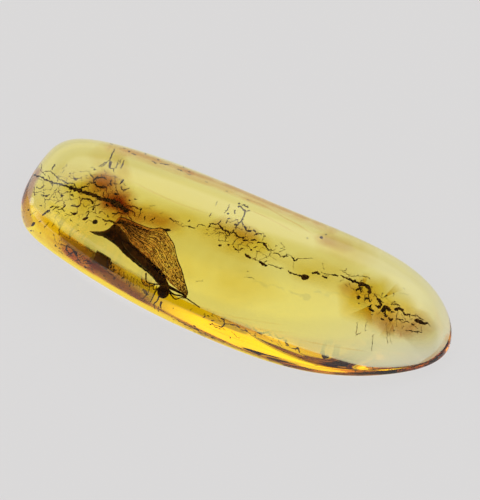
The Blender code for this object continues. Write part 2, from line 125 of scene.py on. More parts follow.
# Traced cracks: each line is its width in pixels, then its x and y in the photograph, point by point
VEIN = [
    [2.0, 33, 175.5, 36, 175.3, 41, 177, 44, 179, 49, 181, 55, 183, 60, 184, 65, 185.5, 70, 187],
    [4.4, 66, 186, 70, 187, 74, 189, 78, 190, 83, 192, 88, 193, 93, 194.5, 98, 197, 103, 199, 108, 200.2,
     113, 202],
    [3.4, 72, 189, 80, 191.5, 88, 194.5, 95, 196.5, 102, 200, 109, 201.8],
    [6.8, 109, 200, 112, 200.8, 116, 204, 120, 206.5],
    [5.2, 117, 203.5, 120, 205.5, 124, 208.5, 127, 211.5, 128, 213],
]
LEFT_CRACKS = [
    [1.0, 43, 172, 46, 171.3, 50, 171.2, 53, 173, 56, 176, 58, 178.5, 60, 177],
    [1.1, 58, 178.5, 60, 180, 63, 181, 66, 183, 70, 183.3, 74, 183.5, 75, 186, 76, 187.5],
    [0.8, 58, 179, 57, 181.5], [1.5, 51.8, 169.8, 53, 167, 55, 164.3],
    [0.7, 41.5, 164, 41.2, 168, 40.8, 171], [0.5, 62.5, 169, 67.5, 164],
    [1.2, 73, 178, 76, 179, 79, 177.8], [0.9, 73.5, 176.6, 76, 179],
    [1.1, 36, 187.5, 40, 188.5, 43.5, 186], [0.6, 33, 192, 38, 192.3, 42, 190.5],
    [1.1, 41, 194, 44, 195.7, 46.5, 196, 50, 194], [1.1, 60.5, 197, 61.5, 195.5, 64, 195],
    [0.8, 61, 193.8, 61.5, 195.5], [1.1, 70.5, 194, 71.5, 195, 74, 197.5], [0.8, 73, 193.5, 71.5, 195],
    [0.6, 57, 188, 55, 191, 53.5, 191.5], [0.9, 40, 205.5, 42, 205.3],
    [2.1, 42.5, 216, 45, 213.5, 48, 211, 50, 210.3], [1.4, 50, 207.8, 53, 207],
    [1.0, 52, 210, 56, 207.5, 59, 206], [0.9, 57.5, 209.8, 60, 209.5, 62, 209, 65, 211.5],
    [1.4, 61, 209, 63.5, 207, 66, 204], [0.6, 55, 204, 57, 202],
    [1.3, 71, 205, 75, 205.5, 78, 206.5, 80, 204.5, 81.5, 203],
    [1.3, 70, 212.5, 74, 214, 77, 213.8], [1.0, 72, 215, 74, 214, 78, 212.5],
    [1.4, 80.5, 201, 82.7, 198.7, 86, 199.7, 89, 199, 91, 200.8, 93, 202, 93.5, 204],
    [1.1, 91.5, 207, 94, 208, 96, 206, 99, 205, 101, 204.5],
    [1.0, 88.3, 211, 89, 213, 87.5, 215.5, 86, 217.5], [0.6, 83.5, 204, 84.5, 207, 86.5, 207.5, 87.5, 205.5],
    [1.1, 99, 213, 101, 210.8, 103, 211], [1.6, 112, 213, 115, 213.7, 118, 213, 121, 213],
    [1.4, 102, 219, 105, 220.5, 107.5, 221.5, 109.5, 220, 111.5, 222, 114.5, 223, 116, 224.5],
    [1.0, 107, 214.5, 108.5, 217, 110, 216], [0.8, 105.5, 225, 106.5, 223], [0.6, 78, 225, 79, 224.5],
    [0.7, 70, 219.5, 71.5, 220.5], [0.6, 65, 215.5, 66, 216], [0.5, 76.5, 231, 79, 230],
    [1.0, 90, 174.5, 91.5, 176, 93.5, 178], [0.6, 84, 175.5, 88, 175.2],
    [1.6, 94, 182, 95, 179, 97, 177.5, 99.5, 178, 102, 177.2, 104, 178, 106.5, 179.5],
    [0.9, 101, 174, 101.5, 177], [0.9, 98.5, 166.5, 101, 165, 103, 164, 106, 162],
    [1.2, 89, 181.5, 92, 182.3, 94, 182.5], [1.0, 86.5, 185, 88, 183.5, 90.5, 182.5],
    [1.6, 80, 189.5, 82, 187, 85, 187, 87, 186],
    [2.3, 95, 183.5, 97, 186, 100, 186.5, 103, 187, 106, 187, 107, 186.5],
    [1.0, 109.5, 183, 112, 186, 111, 183.5, 110.5, 180.5, 112.5, 179],
    [1.0, 113, 183, 116, 183.5, 118, 184.3], [1.9, 119.5, 184.3, 121.5, 182, 123.5, 179.5],
    [1.0, 121, 186, 122, 189, 125, 190, 127, 188.5, 130, 187.8], [0.9, 123.5, 191.5, 125, 190],
 [2.0, 113.5, 193.5, 116, 194, 118, 194], [0.9, 118, 193.5, 119.5, 195.5],
    [0.8, 119.5, 197, 120, 200], [0.6, 125, 197, 124, 195], [1.2, 134, 199.3, 136, 199],
    [0.5, 64.5, 170, 62, 173], [0.6, 99, 191.5, 97, 189], [0.6, 88, 206, 89.5, 204.5],
    [0.7, 97, 216, 99.5, 218, 101, 217], [0.6, 114, 208, 116.5, 209.5, 115.5, 211.5],
    [0.7, 104, 170, 106, 172.5, 105, 175], [0.6, 86, 177.8, 89, 178.6], [0.6, 114, 176.5, 117, 177.5],
]
RED_CRACKS = [
    [1.2, 106.5, 187, 106, 190, 106.5, 193], [1.0, 103.5, 192, 103, 195, 104.5, 198],
    [1.0, 106.5, 203, 107, 205, 110, 207], [0.8, 103.5, 207.5, 107, 205.5],
    [1.4, 124, 208, 127, 206, 130, 206, 133, 206.5, 135, 207, 139, 209.5],
    [1.3, 126, 210, 129, 210, 132, 210.5, 134, 212.5, 135.5, 217], [1.6, 128, 213, 124, 213.5, 119, 213.5],
    [1.1, 124, 213, 121, 217, 119.5, 221], [1.2, 127, 213, 130, 218, 134, 222.5],
    [0.9, 124.6, 212, 126.5, 218, 130, 224], [1.8, 128, 221, 134, 225.5, 141, 229, 147, 232],
    [1.2, 131, 222, 138, 226, 145, 229.5, 152, 231.5],
]
MIDDLE_CRACKS = [
    [0.9, 140.5, 211, 139.8, 214, 138.5, 217.5], [1.2, 145.5, 216, 144.5, 218, 144.5, 220.5],
    [1.0, 149.5, 220.3, 152, 220.5, 155, 217.5], [0.6, 152, 222.5, 154, 222.5], [0.8, 149, 206, 155, 206],
    [1.5, 170.3, 218.8, 173, 220.5], [1.0, 173, 220.5, 179.5, 221.5], [1.4, 188, 222.5, 190, 220],
    [0.6, 181, 225, 183, 223], [1.3, 188, 225.5, 190.5, 227, 193.5, 227.8, 195.5, 229],
    [0.9, 197, 226.5, 198.5, 224.5, 201, 224.8, 205, 226], [0.6, 160, 213.5, 163, 213],
    [0.5, 203, 234, 208, 233], [0.5, 208, 236, 210, 235],
]
TOP_CRACKS = [
    [1.2, 114.5, 148.5, 114, 151, 112, 154.5, 110.5, 158.5, 109.5, 161.5],
    [2.6, 110.5, 161.5, 110, 165, 109.5, 168.5], [1.1, 109.5, 168.5, 114, 168.5, 113.5, 171.5],
    [1.3, 124.5, 160, 122.5, 164, 121, 169], [0.7, 122, 157.5, 120, 162, 117, 165.5, 115, 168.5],
    [0.8, 109, 159.5, 106, 163, 104, 165, 101, 166.5], [0.7, 118.5, 160, 117, 164.5, 116.5, 168],
]
CENTRE_CRACKS = [
    [1.2, 209, 227, 210.5, 224, 212.5, 223.5, 216, 224.5, 218.5, 224.5, 220, 222, 221, 220],
    [1.9, 218.5, 224.5, 220.5, 226.5, 222, 228.5, 223, 230, 226, 231, 229, 231.8],
    [1.0, 226, 231.5, 225, 234, 227.5, 236, 230, 234.5, 229, 231.8],
    [1.0, 218, 232, 221, 232.8, 224, 233.5], [0.7, 213, 230.5, 216, 228.5, 219, 228],
    [0.6, 215, 234.5, 218, 232.5],
    [1.6, 230, 232.3, 233, 232, 234.5, 232.5, 237, 235.5, 240, 237.5, 242, 238],
    [1.0, 233, 232, 233.5, 229.5], [1.7, 242.5, 240, 244, 240, 246, 240.5, 247.5, 241],
    [0.7, 244.5, 237, 246, 235.5], [0.8, 240, 237.5, 236.5, 239, 234, 242, 232, 244.5],
    [1.3, 235, 228, 236, 226, 238.5, 223.5, 241, 221.5],
    [1.4, 241, 221.5, 242.5, 219.5, 244, 216, 245, 213, 245.5, 210.5, 244, 209.5],
    [1.1, 246, 212, 249, 210, 250, 211], [1.6, 242, 205, 244, 205, 246.5, 206.5, 248.5, 208],
    [1.3, 238, 207.5, 240, 206, 242, 208, 243, 209.5],
    [1.2, 241.5, 221.5, 242.5, 223.5, 244, 225.5], [2.0, 244, 225.5, 245.5, 228, 247, 230.5],
    [2.2, 247, 230.5, 250, 231, 252, 230.5], [1.0, 252, 230.5, 253, 229.5, 256, 232],
    [1.1, 254, 236, 255.5, 234.5, 258, 234, 260.5, 233.5, 261, 235],
    [1.6, 250, 240.5, 252.5, 240, 255, 239.5, 256.5, 241], [1.3, 257, 243, 259, 242, 262, 243],
    [2.3, 262, 243, 264, 243.5, 265.5, 246, 267, 248], [1.5, 267, 248, 269, 250, 272.5, 250.5],
    [0.8, 265, 243.5, 266.5, 242.5], [0.8, 240, 245, 242, 243, 244, 242],
    [1.1, 233, 246, 235, 249, 237, 250.3, 240, 250, 242, 248.5, 244, 249],
    [1.0, 253, 249, 255.5, 247.5, 257.5, 246.5], [0.7, 225, 240, 227, 237, 228, 236],
    [1.0, 273, 253.5, 276, 253, 279, 254, 280.5, 256],
    [1.3, 282, 256.5, 284, 257.5, 285, 256, 286.5, 256, 288, 256.5], [0.9, 286.5, 256, 287, 254],
    [1.2, 291, 257, 293, 258, 294.5, 260.5, 296, 260, 299, 258.7], [0.8, 299, 258.7, 305, 258.5, 313, 258.5],
    [0.8, 224, 213, 226.5, 211, 228.5, 207.5, 229.5, 204], [0.6, 217, 201, 215.5, 205.5],
    [0.9, 227.5, 219.5, 226.5, 223.5], [1.5, 227.5, 219, 230, 218], [0.7, 209, 217, 211, 214.5, 212, 213],
    [1.6, 235, 209.5, 234.7, 213.5], [0.8, 264.5, 236.5, 266, 235.5], [0.7, 275, 246, 277, 245.5],
    [0.8, 280, 248.5, 283, 248], [0.6, 247, 244, 249, 246.5, 250.5, 248.5], [0.6, 206, 229.5, 209, 230.5],
]
TRAIL = [
    [3.4, 244.5, 253.8, 247.5, 255.7, 250.8, 257.8], [1.0, 251, 258, 256, 260, 260, 262],
    [3.6, 259.5, 262, 263.5, 264, 267, 266.3], [1.1, 264, 262, 267, 260.5],
    [0.9, 268, 264, 272, 265.5, 276, 266.5, 280, 268, 284, 268.3],
    [1.6, 288, 270.5, 290, 273, 293, 273.5], [1.9, 293, 273.5, 297, 275, 300, 275.5, 302, 276.5],
    [2.6, 311.5, 273.5, 315, 273, 317, 272.5, 320, 274.5], [2.4, 322, 275.5, 324.5, 277.5, 327, 277],
    [0.9, 321, 272, 324, 274, 330, 275], [0.7, 325, 275.5, 332, 274.5],
    [2.8, 331.5, 274.5, 335, 275, 338, 276.5], [1.6, 341, 275.5, 344, 277, 347, 278.5],
    [3.6, 346, 278, 351, 280.5, 355, 281.5, 358, 283], [2.4, 356, 282, 358, 283, 360, 284.8],
    [4.8, 359.5, 285.5, 362, 284, 365, 284.6, 367.5, 286, 369.5, 288.5],
    [3.8, 368, 286.5, 369.7, 289, 370, 291, 369.5, 293.5], [1.2, 369, 294, 368.5, 296.5],
    [2.2, 361, 287, 358.5, 289, 355.5, 290], [1.5, 361, 287, 361, 290, 361.5, 292.5],
    [2.0, 364, 300, 368, 300, 371, 300], [1.0, 371.5, 298.5, 371, 302.5],
    [3.2, 368.5, 308, 371, 310, 374, 312], [1.0, 374, 294, 376, 296, 377.5, 298],
    [2.6, 377.5, 298, 379, 300, 380, 304], [1.0, 379, 300, 381.5, 301, 383.5, 303],
    [0.8, 381.5, 296, 382.5, 292.5], [2.0, 377.5, 306.5, 379, 308.5],
    [2.6, 381.5, 309, 383, 309.5, 384.5, 311.5], [1.2, 384.5, 311.5, 385.5, 314, 386.5, 316],
    [2.6, 384.5, 305, 387, 307, 389, 309, 390.5, 310.5], [0.9, 391, 304.5, 395, 304, 398, 305, 400, 307],
    [3.4, 394.5, 310.5, 397, 309.5, 399, 308.5, 401.5, 309], [2.6, 401.5, 308.5, 402.3, 310, 403.2, 312.3],
    [1.3, 391, 311, 394, 311.5], [1.8, 403, 312.5, 405, 315, 408, 314.5, 411, 314.5],
    [1.0, 409.5, 314.5, 410, 317.5], [1.1, 411, 315.5, 415, 315.5, 417.5, 316.5, 420.5, 318.5, 423, 320],
    [0.7, 411, 319, 413, 318.5], [4.2, 415, 320, 418, 321, 420.5, 322, 423, 323.3],
    [3.4, 421, 322.5, 424, 323.8, 428, 323.7], [0.9, 428, 324, 430.5, 326.5],
    [1.6, 380.5, 317.5, 383, 319, 384.5, 320], [1.8, 388, 317.5, 390, 319.5, 393, 320],
    [1.1, 396, 319, 400, 319, 403, 320], [0.9, 404, 322.5, 406, 321, 409, 323], [1.3, 411, 324, 414, 324.5],
    [1.4, 405.5, 330.5, 410, 330.5, 415, 331.5, 422, 332.5],
]
FAINT_CRACKS = [
    [0.7, 344, 271, 347, 268.5], [0.8, 340, 270, 344, 272, 347, 274, 350, 276.2, 356, 276.3, 362, 276],
    [0.9, 362, 276, 366, 276.7, 370, 278.5], [0.6, 361, 281, 364, 280], [0.7, 340, 281.5, 344, 280],
    [0.6, 345, 284, 348, 287], [0.6, 352, 288, 355, 289], [0.6, 421.5, 331, 421, 326],
    [0.7, 357, 322, 357, 326, 356, 332, 356, 335, 361, 332], [0.6, 367, 320, 365.5, 327, 365, 331],
    [0.7, 373, 334, 372.5, 340, 371.5, 351], [0.7, 386, 322, 387, 330, 387.5, 343],
    [0.5, 389, 330, 391, 343], [0.7, 393.5, 293, 393.5, 295], [0.5, 196, 282, 203, 281],
    [0.5, 244, 277.5, 252, 277.5, 254, 278.5], [0.5, 293.5, 262, 293.5, 268], [0.5, 322, 262, 324, 269],
    [0.6, 30, 215, 33, 213, 36.5, 211.5], [0.6, 44, 228, 48.5, 223], [1.1, 38.5, 222, 41, 220.5],
]
# Traced knots and grains: length and width in pixels, turn in degrees down to the right, then x and y
KNOTS = [
    [2.6, 2.4, 0, 34.5, 175], [2.4, 2.0, 10, 76, 179], [2.6, 2.0, 0, 46.3, 196], [1.8, 1.6, 0, 61.5, 195.5],
    [1.9, 1.6, 40, 71.5, 195], [1.4, 1.2, 0, 54, 197], [1.6, 1.4, 0, 70, 173.3], [2.6, 2.0, 0, 78, 206.4],
    [3.2, 2.2, -10, 74.5, 214], [2.6, 2.0, 60, 92.6, 203], [2.4, 2.0, -40, 93.2, 209.2],
    [1.8, 1.6, 0, 88.3, 211.3], [6.4, 3.0, -22, 85.3, 218.6], [5.2, 3.9, 10, 95.2, 221.7],
    [3.2, 2.4, 70, 107, 205.2], [2.8, 2.2, 0, 93.7, 182.6], [2.4, 2.0, 0, 83, 187.2],
    [1.8, 1.6, 0, 94.5, 169.7], [2.4, 2.0, 30, 98, 177.7], [2.0, 1.8, 0, 129.4, 200.4],
    [1.8, 1.3, 0, 135.2, 199.2], [2.8, 1.9, -55, 141, 209.3], [2.4, 2.0, 30, 170.5, 218.8],
    [8.2, 3.0, 8, 167, 229.8], [2.0, 1.8, 0, 209.4, 226.4], [1.9, 1.7, 0, 212.5, 223.7],
    [2.8, 2.2, 50, 222, 228.5],
    [2.2, 1.9, 0, 228.4, 232.2], [2.2, 1.9, 0, 233.4, 232], [2.8, 2.4, 20, 243, 237.8],
    [2.8, 2.2, 0, 244, 240.3], [2.8, 2.4, 0, 235.5, 224.6], [2.4, 2.0, 0, 244, 210],
    [2.2, 1.9, 0, 239.3, 203.5], [2.0, 1.7, 0, 238.7, 206.4], [2.0, 1.7, 0, 256.6, 234.2],
    [2.2, 2.0, 0, 251.2, 249.8], [2.4, 2.1, 0, 228.4, 244.8], [3.4, 2.6, 0, 220, 245.3],
    [2.1, 1.7, 0, 235.5, 249.4],
    [2.2, 2.0, 0, 228, 213.4], [1.8, 1.5, 0, 280.5, 268.5], [2.4, 2.1, 0, 290.5, 272.9],
    [2.0, 1.7, 0, 294.6, 260.2], [1.8, 1.6, 0, 283.8, 257.2], [3.2, 2.6, 20, 321.3, 237.6],
    [1.5, 1.2, 0, 326, 234.5], [1.5, 1.2, 0, 307.3, 238], [1.4, 1.0, 0, 247.8, 271.4],
    [4.4, 3.4, 60, 358.6, 297.3], [3.2, 2.9, 0, 379, 299.8], [3.0, 2.6, 30, 382.6, 309.6],
    [3.6, 2.6, 0, 386, 315.6], [2.6, 2.1, 20, 391.5, 319.6], [1.5, 1.3, 0, 359, 303.4],
    [2.2, 2.0, 0, 405, 314.6], [1.6, 1.4, 0, 394, 330.4], [1.3, 1.1, 0, 372, 314.5],
    [5.4, 2.9, -48, 33.2, 224.2], [1.9, 1.7, 0, 28.4, 210], [2.0, 1.7, 0, 31, 230.8],
    [1.6, 1.3, 0, 40.5, 233], [2.4, 1.3, -65, 55.3, 245.5], [1.5, 1.2, 0, 23.5, 217],
]
BALL = [7.4, 6.0, 8, 304.8, 277.3]       # the round grain in the middle of the trail

# Films of stain a little under the flow layer: strength, half width in pixels, then x and y along the middle
RUST = [
    [0.90, 22, 106, 168, 104, 184, 112, 198, 124, 210], [0.75, 26, 76, 187, 98, 193, 116, 204, 134, 217],
    [0.80, 14, 98, 192, 112, 202, 126, 214, 144, 226], [0.80, 9, 112, 198, 124, 210, 132, 220],
    [0.75, 20, 360, 311, 388, 320, 412, 325, 440, 327], [0.55, 13, 376, 324, 394, 329, 420, 333],
    [0.60, 9, 312, 236, 335, 243, 356, 251], [0.60, 15, 122, 206, 152, 218, 186, 228],
    [0.45, 15, 208, 221, 236, 231, 262, 242], [0.40, 12, 336, 285, 360, 292, 382, 304],
]
HONEY = [
    [0.90, 44, 26, 188, 62, 197, 96, 206, 140, 218],
    [0.95, 24, 108, 204, 160, 219, 205, 231, 250, 247, 292, 264],
    [0.75, 22, 276, 260, 320, 272, 350, 284, 386, 302], [0.60, 18, 196, 228, 222, 238, 250, 248],
    [1.00, 32, 336, 286, 372, 302, 416, 326], [0.70, 22, 312, 232, 345, 248, 380, 265],
    [0.55, 30, 376, 316, 410, 324, 446, 328], [0.45, 40, 60, 214, 120, 236, 200, 262, 290, 300],
]
# Golden patches just under the skin, where the flow layer runs out beyond the far rim
TOP_GOLD = [[0.75, 18, 98, 144, 106, 156, 112, 168, 116, 182], [0.5, 12, 116, 154, 120, 170, 124, 186]]
FLOW_LINES = [
    [0.6, 1.2, 228, 192, 262, 205, 285, 218, 300, 226, 318, 238], [0.4, 1.0, 240, 206, 272, 220, 300, 236],
    [0.4, 1.4, 160, 306, 200, 316, 250, 328, 300, 334], [0.35, 1.0, 180, 300, 230, 316, 290, 326],
    [0.4, 1.2, 130, 180, 170, 200, 215, 216], [0.35, 1.2, 300, 340, 330, 346, 370, 352],
]
# Films just under the polished skin
# A peach tint along the far rim: partly stain, partly painted shade for the darker far rim
RIM_STAIN_AND_SHADE = [
    [1.20, 5.5, 103, 146, 130, 153, 160, 163, 190, 174, 220, 185, 260, 201, 300, 217, 340, 233],
    [1.20, 2.6, 108, 145, 140, 154, 165, 163, 195, 174], [0.80, 2.0, 180, 169, 225, 184, 270, 203, 330, 228],
    [0.90, 3.0, 449, 333, 444, 344, 434, 356, 418, 366],
]
# A rose tint under the skin along the blunt left end
END_ROSE_TINT = [[1.60, 7.0, 38, 166, 29, 184, 24, 204, 28, 228]]
# Painted shade: a tan tint along the foot of the near flank, where the stone meets the floor
FOOT_PAINTED_SHADE = [[1.1, 5.0, 32, 228, 58, 249, 85, 266, 112, 281, 150, 303]]
GOLD_EDGE = [[1.20, 9, 34, 214, 52, 232, 72, 246, 94, 258]]
# Painted reflection: the brown image of the near wing in the foot of the near flank, its upper and lower
# border
BROWN = ([88.5, 261, 97, 265, 112, 275, 126, 284, 140, 293, 150, 300],
         [85, 271.5, 97, 279, 112, 287.5, 126, 295, 140, 303, 153, 310])
# Dull sheets over the near flank that hide part of what lies behind them: the upper and lower border of
# each, its depth under the skin, how soft it is along and across, its dark and light colour, and the
# share that it hides. The second and third sheets are painted reflection of the near wing in the near flank
VEILS = {
    "gold_haze": ([56, 230, 76, 242, 96, 251.5], [58, 241, 76, 254, 91, 264],
                  0.26, (0.6, 0.6), (0.80, 0.42, 0.02), (0.90, 0.55, 0.03), 0.65),
    # Painted reflection of the near wing, brown
    "flank_wing_reflection": ([94, 251, 112, 259.5, 135, 272, 156, 284], [86, 270, 106, 284, 130, 298.5, 150, 309],
                   0.24, (0.2, 0.3), (0.34, 0.15, 0.02), (0.60, 0.36, 0.06), 0.25),
    # Painted reflection of the near wing's darkest part
    "dark_wing_reflection": ([96, 249.5, 103, 253.5, 110.5, 258], [91.5, 262, 99, 266.5, 107, 271],
                   0.21, (0.1, 0.35), (0.05, 0.018, 0.003), (0.16, 0.065, 0.010), 0.95),
}
# Traced short dark strokes on the near flank, and specks: the first ten strokes are painted reflection of
# the near wing's ribs; each is its width in pixels, then its x and y
FLANK_RIB_REFLECTION_AND_SPECKS = [
    [2.0, 108.5, 259, 107.5, 266], [1.8, 111.5, 262, 111, 269], [1.2, 114, 265, 113.5, 271],
    [0.9, 120, 268.5, 119.6, 275], [1.0, 124, 271.5, 123.6, 278], [0.8, 127.5, 273.5, 127, 283],
    [0.8, 131, 275.5, 130.4, 284.5], [0.8, 134, 277.5, 133.4, 286], [0.7, 137, 279.5, 136.4, 287],
    [0.7, 140, 282, 139.4, 288], [1.1, 33, 230, 33.6, 231], [1.0, 44, 228, 48, 223.5],
    [0.9, 55.6, 246.6, 54.8, 244], [1.0, 172.8, 308.4, 173.6, 309], [1.0, 171.6, 315.6, 172.4, 317],
]
# Traced specks on the far rim: each line is its width in pixels, then its x and y
RIM_SPECKS = [
    [1.7, 128.6, 150.8, 129.8, 151.6], [1.2, 131, 153, 133.5, 154.2, 136, 155],
    [1.3, 152, 161, 154.5, 162.5, 157, 164], [1.5, 157.6, 159.8, 158.8, 160.5],
    [1.9, 160, 163, 165, 164.5, 170, 165], [1.4, 177, 169, 180, 170.2, 183, 171],
    [1.3, 182.8, 166.8, 184, 167.4], [1.3, 188.8, 171.8, 190, 172.4], [1.2, 110, 144, 112.4, 144.4],
    [1.2, 123.8, 148, 125, 148.5], [1.2, 144.8, 154, 146, 154.4], [1.1, 187, 174, 190.5, 174.8],
    [1.0, 205, 181.5, 208, 182.5], [0.9, 226, 191, 228, 191.6], [1.0, 247, 199.5, 250, 200.5],
]
# Nets of fine cracks: the outline of each, its spacing in pixels, the share of walls kept, and their width
NETS = {
    "left": ([40, 168, 62, 172, 92, 166, 122, 178, 130, 196, 134, 214, 118, 226, 90, 224, 60, 218, 40, 212,
              32, 192], 7.4, 0.60, 0.66),
    "centre": ([206, 224, 232, 216, 262, 228, 292, 250, 296, 262, 262, 262, 236, 252, 212, 240],
               7.5, 0.52, 0.6),
    "right": ([344, 276, 372, 282, 398, 302, 426, 320, 420, 334, 392, 328, 366, 312, 352, 290],
              8.0, 0.40, 0.6),
    "middle": ([134, 204, 170, 212, 208, 222, 206, 234, 170, 228, 140, 218], 9.0, 0.35, 0.5),
}

# The insect, traced at the heights that its parts lie at
HEAD_HEIGHT, BODY_HEIGHT, WING_HEIGHT, FOOT_HEIGHT = 2.3, 1.72, 2.06, 1.16
SKIN_DEPTH = 0.3             # how far into the stone the feet and the feelers' tips lie, along the view
MEMBRANE, FAR_ARCH, NEAR_ARCH = 0.02, 0.10, 0.08   # half the wings' thickness, and how far each bows
LONG_VEINS, CROSS_VEINS, WING_SCALES = 12, 260, 420
NEAR_TOP = [89.7, 231.4, 101.8, 231.2, 108.5, 228.8, 113.4, 224.6, 118.8, 226.2, 125, 233, 130.4, 242,
            137.5, 248.2, 143, 254.5, 149, 260, 153.5, 268, 159.8, 274.1, 165, 279]
NEAR_FOOT = [89.7, 231.4, 95.5, 234.8, 102.7, 236.8, 108.9, 240.6, 117, 246.2, 122.3, 252.4, 128.6, 258,
             135.7, 263.8, 145.5, 271.4, 153.6, 277.7, 158.9, 281.7, 162, 284.5, 165, 287]
FAR_ROOT = [112, 226, 118.8, 226.2, 125, 233, 130.4, 242, 137.5, 248.2, 143, 254.5, 149, 260, 153.5, 268,
            159.8, 274.1, 166, 279.6, 173.2, 286, 180.4, 291.5, 186.6, 296.6]
FAR_MARGIN = [112, 226, 119, 217.5, 127, 219, 137.5, 223.6, 151.8, 228.6, 160.7, 227.7, 165.2, 230.4,
              169.6, 237.5, 174.1, 244.6, 175.9, 253.6, 178.6, 262.5, 182.1, 271.4, 184.2, 280.4, 187, 289.3,
              187.6, 294, 186.6, 296.6]
HEAD = (163.4, 291.6)
# The body's middle line from its face to its tail, and its half width in pixels along it
BODY = [163.0, 297.5, 163.4, 291, 164.4, 285, 160, 277.5, 152, 268.5, 142, 259, 131, 249.5, 122, 241.5]
BODY_ALONG = [0.0, 0.04, 0.10, 0.16, 0.20, 0.28, 0.36, 0.44, 0.60, 0.80, 0.94, 1.0]
BODY_RADII = [0.6, 3.6, 5.4, 4.0, 3.2, 4.4, 4.4, 3.6, 4.0, 3.2, 1.8, 0.3]
# The far wing's leading edge: a thick dark vein whose darkness is partly painted shade
LEADING_EDGE_AND_SHADE = [[4.2, 161, 282, 169, 287, 176, 290.4, 182, 293.8, 186.6, 297]]
ANTENNAE = [
    [1.5, 167, 290, 169.6, 291, 174.1, 294.6, 179.5, 295.5, 184.8, 297.3, 192.9, 302.7, 200, 307.6],
    [1.3, 168, 293.5, 170, 293.6, 175, 299, 180.4, 297.8, 185.3, 298.2],
]
LEGS = [
    [1.4, 146, 273.2, 146.4, 281.3, 150.9, 283.5, 158, 284.4, 161, 286],
    [1.0, 149.6, 283.9, 148.7, 291, 145.5, 296, 142.9, 298.2],
    [1.2, 160, 284.5, 154.5, 284.4, 153.1, 288.4, 155.4, 289.3, 157.1, 285.7],
    [1.7, 160, 287, 156.3, 290.2, 152.7, 297.3, 150.4, 302.2],
    [1.8, 162, 290, 159.4, 295.5, 157.1, 300.9, 154, 304, 154.9, 308.9],
    [2.2, 161.5, 302, 160.4, 305, 160.9, 308], [1.0, 158.5, 311.5, 158, 309.5, 159, 306],
]


class Value:
    """A socket that adds, takes away and multiplies as a number does, by Math nodes."""

    def __init__(self, graph, socket):
        self.graph, self.socket = graph, socket

    def __add__(self, other):
        return self.graph.maths('ADD', self, other)

    def __sub__(self, other):
        return self.graph.maths('SUBTRACT', self, other)

    def __rsub__(self, other):
        return self.graph.maths('SUBTRACT', other, self)

    def __mul__(self, other):
        return self.graph.maths('MULTIPLY', self, other)

    __radd__, __rmul__ = __add__, __mul__


class Graph:
    """A node tree that is written as expressions on its sockets."""

    def __init__(self, tree):
        self.tree = tree

    def node(self, kind, inputs=(), output=0, **settings):
        """Add a node: its settings first, then the values or links of its sockets, then its output."""
        node = self.tree.nodes.new(kind)
        for key, value in settings.items():
            setattr(node, key, value)
        for key, value in dict(inputs).items():
            self.feed(node.inputs[key], value)
        return Value(self, node.outputs[output])

    def feed(self, socket, value):
        if isinstance(value, Value):
            self.tree.links.new(value.socket, socket)
        else:
            socket.default_value = value

    def maths(self, operation, *values):
        return self.node("ShaderNodeMath", dict(enumerate(values)), operation=operation)

    def smooth(self, value, low, high, start=0.0, end=1.0):
        """A smooth step of a value from one result to another."""
        sockets = {"Value": value, "From Min": low, "From Max": high, "To Min": start, "To Max": end}
        return self.node("ShaderNodeMapRange", sockets, interpolation_type='SMOOTHSTEP')

    def noise(self, scale, detail=3.0, rough=0.55, where=None):
        where = where or self.node("ShaderNodeTexCoord", output="Object")
        sockets = {"Vector": where, "Scale": scale, "Detail": detail, "Roughness": rough}
        return self.node("ShaderNodeTexNoise", sockets)

    def cells(self, scale):
        where = self.node("ShaderNodeTexCoord", output="Object")
        return self.node("ShaderNodeTexVoronoi", {"Vector": where, "Scale": scale}, output="Distance")

    def blend(self, share, first, second):
        """A colour between two colours."""
        mix = self.tree.nodes.new("ShaderNodeMix")
        mix.data_type = 'RGBA'
        for name, value in (("Factor_Float", share), ("A_Color", first), ("B_Color", second)):
            socket = next(s for s in mix.inputs if s.identifier == name)
            self.feed(socket, value if isinstance(value, Value) or name[0] == "F" else (*value, 1.0))
        return Value(self, next(s for s in mix.outputs if s.identifier == "Result_Color"))

    def attribute(self, name):
        return self.node("ShaderNodeAttribute", output="Fac", attribute_name=name)

    def bump(self, height, strength, distance):
        """A normal from a height, with its distance in millimetres."""
        sockets = {"Height": height, "Strength": strength, "Distance": distance * MM}
        return self.node("ShaderNodeBump", sockets, output="Normal")


# Sockets of a film that light passes straight through
CLEAR = {"Roughness": 0.0, "IOR": 1.0, "Transmission_Weight": 1.0, "Specular_IOR_Level": 0.0}


def new_material(name, **sockets):
    """A Principled material; its constant numbers are set on the shader's own sockets."""
    material = bpy.data.materials.new(name)
    material.use_nodes = True
    shader = material.node_tree.nodes["Principled BSDF"]
    for socket, value in sockets.items():
        shader.inputs[socket.replace("_", " ")].default_value = value
    return material, shader, Graph(material.node_tree)


def amber_material():
    """Clear and polished; its depth absorbs all but the yellow."""
    material, _shader, graph = new_material(
        "amber", Base_Color=(1, 1, 1, 1), Roughness=0.02, IOR=AMBER_IOR, Transmission_Weight=1.0)
    volume = graph.node("ShaderNodeVolumeAbsorption", {"Color": AMBER_COLOUR, "Density": AMBER_DENSITY})
    graph.feed(graph.tree.nodes["Material Output"].inputs["Volume"], volume)
    return material


def stained(name, dark, light, rough=0.6, scale=2500.0):
    """A dull material whose colour wanders between two browns."""
    material, shader, graph = new_material(name, Roughness=rough, Specular_IOR_Level=0.3)
    share = graph.smooth(graph.noise(scale), 0.38, 0.66)
    graph.feed(shader.inputs["Base Color"], graph.blend(share, dark, light))
    return material


